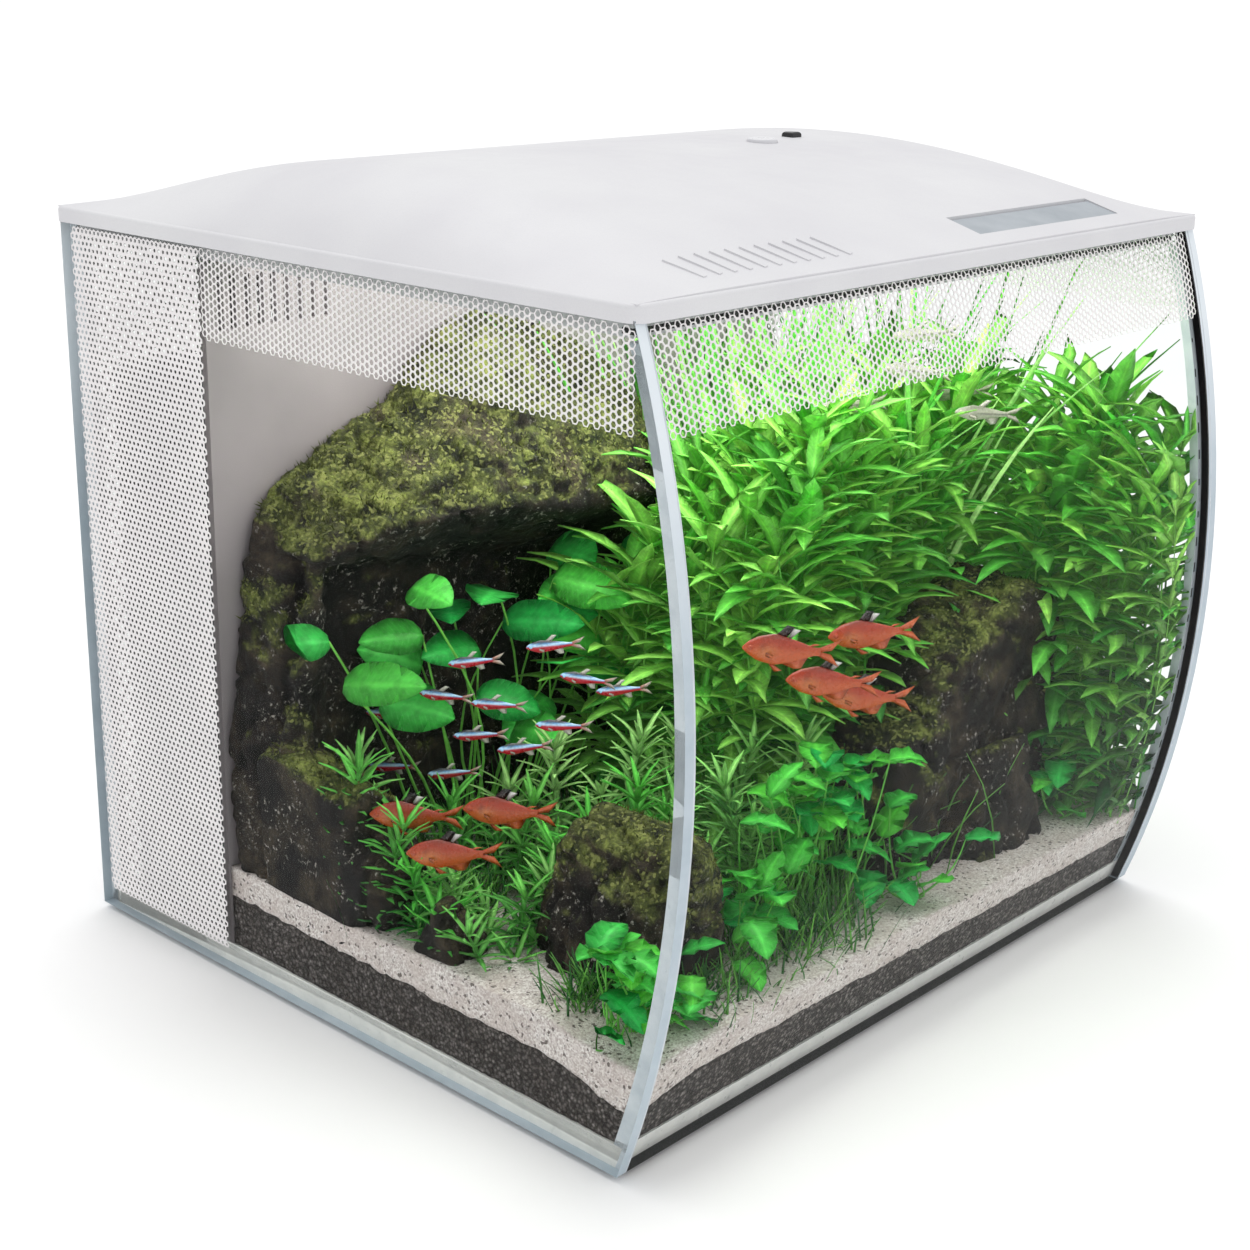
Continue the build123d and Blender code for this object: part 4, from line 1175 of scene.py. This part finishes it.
# Low plants: leafy clumps along the front, fine whorled stems and hair grass
low = Growth()
CLUMPS = (
    (-176, -146, 20, 98), (-158, -152, 12, 80), (-92, -136, 14, 104), (-64, -132, 18, 124),
    (-34, -128, 20, 134), (-10, -134, 16, 122), (14, -150, 10, 96), (172, -136, 16, 104),
    (186, -150, 10, 92), (158, -150, 8, 84),
)
for x, y, count, top in CLUMPS:
    for _ in range(count):
        root = np.array([x + rng.normal(0, 5), y + rng.normal(0, 4), 47.0])
        tip = root + (rng.normal(0, 11), rng.normal(0, 8), rng.uniform(0.25, 1.0) * (top - 50))
        stem = wander(root, tip, 6, 4)
        low.stalk(stem, 0.7, mix(MID, LIME, 0.3))
        away = rng.uniform(-math.pi, 0.4)
        lit = rng.random()
        low.blade(
            stem[-1], heading(away, rng.uniform(0.0, 0.9)), rng.uniform(16, 26),
            rng.uniform(5.5, 8.5), mix(EMERALD, (0.10, 0.58, 0.05), lit), rng.uniform(0.4, 1.3),
            OVAL, 8, ripple=0.14, cup=0.22,
        )
WHORLS = (
    (-186, 8, 126), (-180, 22, 118), (-188, -8, 106), (-182, -26, 88), (-174, -40, 80),
    (-186, -44, 76), (-166, -30, 82), (-178, -62, 74), (-160, -58, 78), (-140, -70, 82),
    (-132, -52, 88), (-120, -28, 100), (-108, -58, 100), (-96, -34, 122), (-84, -66, 118),
    (-66, -50, 128), (-50, -72, 122), (-34, -54, 138), (-88, -92, 106), (-66, -100, 116),
    (-44, -98, 122), (-22, -104, 128), (-106, -8, 96), (-128, 2, 98), (168, -108, 132),
    (184, -122, 126), (160, -122, 112), (190, -98, 140),
)
for x, y, top in WHORLS:
    shades = (mix(DEEP, MID, 0.4), mix(FRESH, PALE, rng.random()))
    manner = (shades, 0.45, 0.5, NEEDLE, 4)
    tip = (x + rng.normal(0, 6), y + rng.normal(0, 6), top)
    leafy_stem(low, (x, y, 46), tip, 6.5, 6, 19, 1.3, *manner)
    leafy_stem(low, (x + 7, y - 6, 46), (x + 12, y - 10, top - 22), 6.5, 6, 17, 1.2, *manner)
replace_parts(low.build("low_plants", leaf_look, "plant"), "front_plants")

hair = Growth()
LAWNS = (
    (-130, -150, 30, 260, 22), (-170, -120, 16, 160, 26), (-60, -142, 40, 420, 26),
    (-110, -70, 34, 380, 30), (-20, -110, 34, 380, 46), (60, -96, 60, 240, 60),
    (176, -120, 14, 160, 34), (-150, -20, 24, 260, 24), (-60, -20, 50, 420, 34),
    (-100, 20, 60, 420, 30), (10, 20, 60, 300, 40),
)
for x, y, spread, count, tall in LAWNS:
    for _ in range(count):
        root = np.array([x + rng.normal(0, spread * 0.5), y + rng.normal(0, spread * 0.35), 47.0])
        tint = mix(DEEP, mix(MID, LIME, 0.5), rng.random() ** 1.5)
        turn = rng.uniform(0, math.tau)
        hair.blade(
            root, heading(turn, rng.uniform(0.9, 1.5)), tall * rng.uniform(0.5, 1.2), 0.45, tint,
            rng.uniform(0.1, 0.8), NEEDLE, 4, sag=heading(turn, -0.2), thick=0.16,
        )
hair.build("hair_grass", hair_look, "plant")


# -------- fish


TRUNK = 0.82  # share of a fish's length from its nose to its tail's root


def profile(t, shape):
    """Half height along a fish, from stations (t, half height)."""
    at, value = zip(*shape)
    return np.interp(t, at, value)


def body(growth, place, axes, length, outline, belly, wide, paint):
    """Fish body: rings from nose to tail, painted by height and length."""
    along, side, up = axes
    t = (1 - np.cos(np.linspace(0, math.pi, 22))) / 2
    top = profile(t, outline) * length
    bottom = profile(t, belly) * length
    thick = wide * length * np.interp(t, (0, 0.06, 0.25, 0.6, 1), (0.1, 0.55, 1.0, 0.75, 0.12))
    angle = np.arange(20) * math.tau / 20
    c, s = np.cos(angle), np.sin(angle)
    z = np.where(s > 0, s * top[:, None], s * bottom[:, None])
    y = c * thick[:, None] * (1 - 0.15 * np.abs(s))
    centre = place + along * length * (0.5 - t[:, None] * TRUNK)
    rings = centre[:, None] + side * y[..., None] + up * z[..., None]
    level = z / (profile(0.35, outline) * length)
    growth.loft(rings, paint(np.broadcast_to(t[:, None], z.shape), level))


def fin(growth, root_a, root_b, tip_a, tip_b, side, base, end):
    """Thin fin from a root line to a tip line."""
    rings, tints = [], []
    for t in np.linspace(0, 1, 5):
        a = root_a + (tip_a - root_a) * t
        b = root_b + (tip_b - root_b) * t
        middle = (a + b) / 2
        thin = side * (0.28 * (1 - t) + 0.06)
        rings.append([a, middle + thin, b, middle - thin])
        tints.append(mix(base, end, np.full(4, t)))
    growth.loft(np.array(rings), np.array(tints))


def ball(growth, centre, axes, radius, paint):
    """Small flattened ball for an eye."""
    along, side, up = axes
    t = np.linspace(0.03, math.pi - 0.03, 7)
    angle = np.arange(10) * math.tau / 10
    ring = along * np.cos(angle)[:, None] + up * np.sin(angle)[:, None]
    depth, spread = (f(t)[:, None, None] * radius for f in (np.cos, np.sin))
    growth.loft(centre + side * depth * 0.6 + ring * spread, paint)


def swimmer(place, yaw, pitch):
    """Axes of a fish: along its nose, across it and up."""
    nose = np.array([-0.68, 0.73, 0.0])
    c, s = math.cos(yaw), math.sin(yaw)
    turn = np.array([[c, -s, 0], [s, c, 0], [0, 0, 1]])
    along = unit(turn @ nose + UP * math.tan(pitch))
    side = unit(np.cross(UP, along))
    return np.asarray(place, float), (along, side, np.cross(along, side))


def fish(growth, kind, place, yaw, pitch):
    """One fish of a kind at its place."""
    place, axes = swimmer(place, yaw, pitch)
    along, side, up = axes
    length = kind["length"]
    body(growth, place, axes, length, kind["top"], kind["belly"], kind["wide"], kind["paint"])

    def at(t, height):
        return place + along * length * (0.5 - t * TRUNK) + up * length * height

    for t0, t1, dx, rise, h0, h1, base, end in kind["fins"]:
        tip_a, tip_b = at(t0 + dx, rise), at(t0 + dx + 0.10, rise * 0.94)
        fin(growth, at(t0, h0), at(t1, h1), tip_a, tip_b, side, base, end)
    for sign in (1, -1):
        tips = at(1.26, sign * kind["fork"]), at(1.14, sign * 0.02)
        fin(growth, at(0.98, sign * 0.045), at(0.99, -sign * 0.004), *tips, side, *kind["tail"])
    eye_t, eye_height, eye_out, eye_size = kind["eye"]
    for sign in (1, -1):
        flank = side * sign * length
        spot = at(eye_t, eye_height) + flank * eye_out
        ball(growth, spot, axes, length * eye_size, kind["iris"])
        ball(growth, spot + flank * 0.006, axes, length * eye_size * 0.62, PUPIL)
        roots = at(0.24, -0.01) + flank * 0.04, at(0.26, -0.05) + flank * 0.04
        tips = at(0.38, -0.03) + flank * 0.11, at(0.37, -0.08) + flank * 0.10
        fin(growth, *roots, *tips, up, kind["fins"][0][6], kind["tail"][1])


def neon_paint(t, level):
    """Dark back, blue-white stripe, red flank and pale belly."""
    tint = mix((0.045, 0.05, 0.06), (0.10, 0.30, 0.62), step(0.66, 0.52, level))
    tint = mix(tint, (0.50, 0.72, 0.92), step(0.20, 0.10, np.abs(level - 0.34)) * 0.9)
    tint = mix(tint, (0.50, 0.012, 0.03), step(0.16, 0.04, level))
    return mix(tint, (0.35, 0.10, 0.12), step(-0.78, -0.98, level) * step(0.6, 0.4, t))


def red_paint(t, level):
    """Orange red, golden behind the gill, darker back and a dark shoulder spot."""
    tint = mix((0.36, 0.035, 0.012), (0.52, 0.085, 0.016), step(0.5, -0.2, level))
    gold = np.exp(-(((t - 0.30) / 0.12) ** 2) - ((level + 0.1) / 0.4) ** 2)
    tint = mix(tint, (0.62, 0.24, 0.07), 0.6 * gold)
    spot = np.exp(-(((t - 0.27) / 0.025) ** 2) - ((level - 0.25) / 0.28) ** 2)
    tint = mix(tint, (0.10, 0.012, 0.008), 0.8 * spot)
    return mix(tint, (0.14, 0.02, 0.01), step(0.6, 1.0, level) * 0.8)


def glass_paint(t, level):
    """Silvery and half clear, with a dark line along the side."""
    tint = mix((0.42, 0.42, 0.33), (0.20, 0.21, 0.15), step(0.2, 0.9, level))
    line = np.exp(-((level / 0.12) ** 2)) * step(0.25, 0.5, t)
    return mix(tint, (0.05, 0.055, 0.045), 0.7 * line)


SLIM_TOP = ((0, 0.012), (0.06, 0.055), (0.3, 0.118), (0.6, 0.085), (0.9, 0.04), (1, 0.036))
SLIM_BELLY = ((0, 0.012), (0.06, 0.05), (0.3, 0.118), (0.6, 0.08), (0.9, 0.038), (1, 0.034))
DEEP_TOP = (
    (0, 0.012), (0.07, 0.075), (0.2, 0.135), (0.42, 0.175), (0.7, 0.105), (0.92, 0.045), (1, 0.045),
)
DEEP_BELLY = (
    (0, 0.012), (0.07, 0.06), (0.2, 0.13), (0.42, 0.172), (0.7, 0.12), (0.92, 0.045), (1, 0.045),
)
CLEAR, SMOKE, PUPIL = (0.45, 0.42, 0.36), (0.60, 0.58, 0.52), (0.004, 0.004, 0.004)
RED_ROOT, RED_TIP = (0.40, 0.05, 0.014), (0.58, 0.12, 0.03)
BACK_FIN = (0.42, 0.54, 0.14, 0.20, 0.10, 0.09, CLEAR, SMOKE)
NEON = dict(
    length=25, top=SLIM_TOP, belly=SLIM_BELLY, wide=0.065, paint=neon_paint,
    eye=(0.10, 0.012, 0.042, 0.030), iris=(0.35, 0.62, 0.85),
    fork=0.13, tail=((0.42, 0.16, 0.12), CLEAR),
    fins=(BACK_FIN, (0.58, 0.78, 0.12, -0.16, -0.08, -0.05, CLEAR, SMOKE)),
)
RED = dict(
    length=41, top=DEEP_TOP, belly=DEEP_BELLY, wide=0.07, paint=red_paint,
    eye=(0.10, 0.018, 0.040, 0.030), iris=(0.42, 0.06, 0.02),
    fork=0.155, tail=((0.44, 0.06, 0.016), (0.60, 0.13, 0.035)),
    fins=(
        (0.42, 0.56, 0.12, 0.27, 0.165, 0.140, (0.03, 0.012, 0.01), (0.006, 0.006, 0.006)),
        (0.565, 0.60, 0.055, 0.235, 0.136, 0.120, (0.06, 0.03, 0.02), (0.75, 0.72, 0.70)),
        (0.52, 0.86, 0.16, -0.20, -0.15, -0.05, RED_ROOT, RED_TIP),
        (0.36, 0.42, 0.08, -0.24, -0.165, -0.165, RED_ROOT, RED_TIP),
        (0.84, 0.88, 0.06, 0.085, 0.055, 0.05, RED_ROOT, RED_TIP),
    ),
)
GLASS = dict(
    length=34, top=SLIM_TOP, belly=SLIM_BELLY, wide=0.05, paint=glass_paint,
    eye=(0.10, 0.012, 0.032, 0.030), iris=(0.50, 0.48, 0.36),
    fork=0.13, tail=((0.34, 0.34, 0.26), CLEAR),
    fins=(BACK_FIN, (0.56, 0.84, 0.12, -0.16, -0.08, -0.05, CLEAR, SMOKE)),
)
NEON_PLACES = (
    (-132, -10, 168), (-132, -60, 188), (-111, -60, 167), (-87, -60, 156), (-130, 12, 145),
    (-130, -23, 150), (-134, 46, 128), (-128, -62, 150), (-130, -11, 132), (-130, -40, 134),
    (-138, 40, 104), (-130, 7, 108),
)
RED_PLACES = (
    (-173, -14, 106), (-150, -50, 112), (-177, -43, 98), (-82, -150, 196), (-51, -150, 174),
    (-24, -150, 160), (-8, -140, 184),
)
GLASS_PLACES = (
    (137, -60, 292), (77, -60, 264), (104, -78, 280), (150, -74, 262), (118, -112, 262),
)
SHOALS = (
    ("neon_shoal", "neon_tetras", "neon_skin", NEON, NEON_PLACES),
    ("red_shoal", "red_tetras", "red_skin", RED, RED_PLACES),
    ("glass_shoal", "glass_fish", "glass_skin", GLASS, GLASS_PLACES),
)
for name, node_name, slot_name, kind, places in SHOALS:
    school = Growth()
    for place in places:
        fish(school, kind, place, rng.uniform(-0.22, 0.22), rng.uniform(-0.12, 0.12))
    skin = tinted(name + "_skin", rough=0.28, relief=0.12, grain=0.9, contrast=0.18, specular=0.6)
    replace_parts(school.build(name, skin, slot_name), node_name)


# -------- filter media


def filter_foam():
    """Coarse foam block with torn, porous faces and slightly soft edges."""
    low, high = (np.array(c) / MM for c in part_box("foam_block"))
    shape = bmesh.new()
    bmesh.ops.create_cube(shape, size=1.0)
    mesh = bpy.data.meshes.new("filter_foam")
    shape.to_mesh(mesh)
    shape.free()
    corners = np.array([v.co for v in mesh.vertices])
    placed = (low + high) / 2 + corners * (high - low - 2.0)
    mesh.vertices.foreach_set("co", (placed * MM).ravel())
    block = evened("filter_foam", mesh, 2.6, 6)
    mesh = block.data
    points, normals = arrays(mesh)
    pits = 1.2 * noise(points, 3.0, 71) + 0.7 * layered(points, 24, 2, 73) - 0.8
    points = np.clip(points + normals * pits[:, None], low, high)
    mesh.vertices.foreach_set("co", (points * MM).ravel())
    dress(mesh, foam_material())
    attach(block, "foam_filter")
    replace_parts(block, "foam_block")


def net_material():
    """Black carbon grains seen through a pale fine net."""
    s = Shader("carbon_net", roughness=0.8)
    grains = s.axis(0, s.cells(3.4, out="Color"))
    colour = s.blend(s.span(grains, 0.1, 0.9), (0.006, 0.006, 0.007), (0.06, 0.06, 0.065))
    weave = [
        s.math("ABSOLUTE", s.math("SINE", s.math("MULTIPLY", s.axis(a), math.pi / 0.0018)))
        for a in (0, 2)
    ]
    thread = s.span(s.math("MINIMUM", *weave), 0.12, 0.3, 1.0, 0.0)
    colour = s.blend(thread, colour, (0.62, 0.62, 0.60))
    return s.finish(colour, None, s.bump(thread, 0.25))


def carbon_pillow():
    """Net bag of carbon: a lumpy pillow with a flat sewn edge all round."""
    low, high = (np.array(c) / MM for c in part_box("carbon_bag"))
    middle, half = (low + high) / 2, (high - low) / 2
    rows, around = 40, 72
    t = np.linspace(-1, 1, rows)
    angle = np.arange(around) * math.tau / around
    growth = Growth()
    rings = []
    for s in t:
        swell = max(0.0, 1 - abs(s) ** 3.2) ** 0.45
        c, d = np.cos(angle), np.sin(angle)
        x = np.sign(c) * np.abs(c) ** 0.55 * half[0] * (0.93 + 0.07 * swell)
        y = np.sign(d) * np.abs(d) ** 0.55 * np.maximum(half[1] * swell, 0.8)
        rings.append(np.stack([x, y, np.full(around, s * half[2])], 1))
    rings = np.array(rings)
    lumps = 1 + 0.035 * layered(rings, 11, 3, 81)
    rings = middle + np.clip(rings * lumps[..., None], -half, half)
    growth.loft(rings, (1, 1, 1))
    points = np.concatenate(growth.points)
    bag = piece("carbon_pillow", points, growth.faces, net_material())
    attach(bag, "media_basket")
    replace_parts(bag, "carbon_bag")


filter_foam()
carbon_pillow()


# -------- floor

bpy.ops.mesh.primitive_plane_add(size=80, location=(0, 0, 0))
floor = bpy.context.object
floor.name = "floor"
floor.data.materials.append(floor_material())
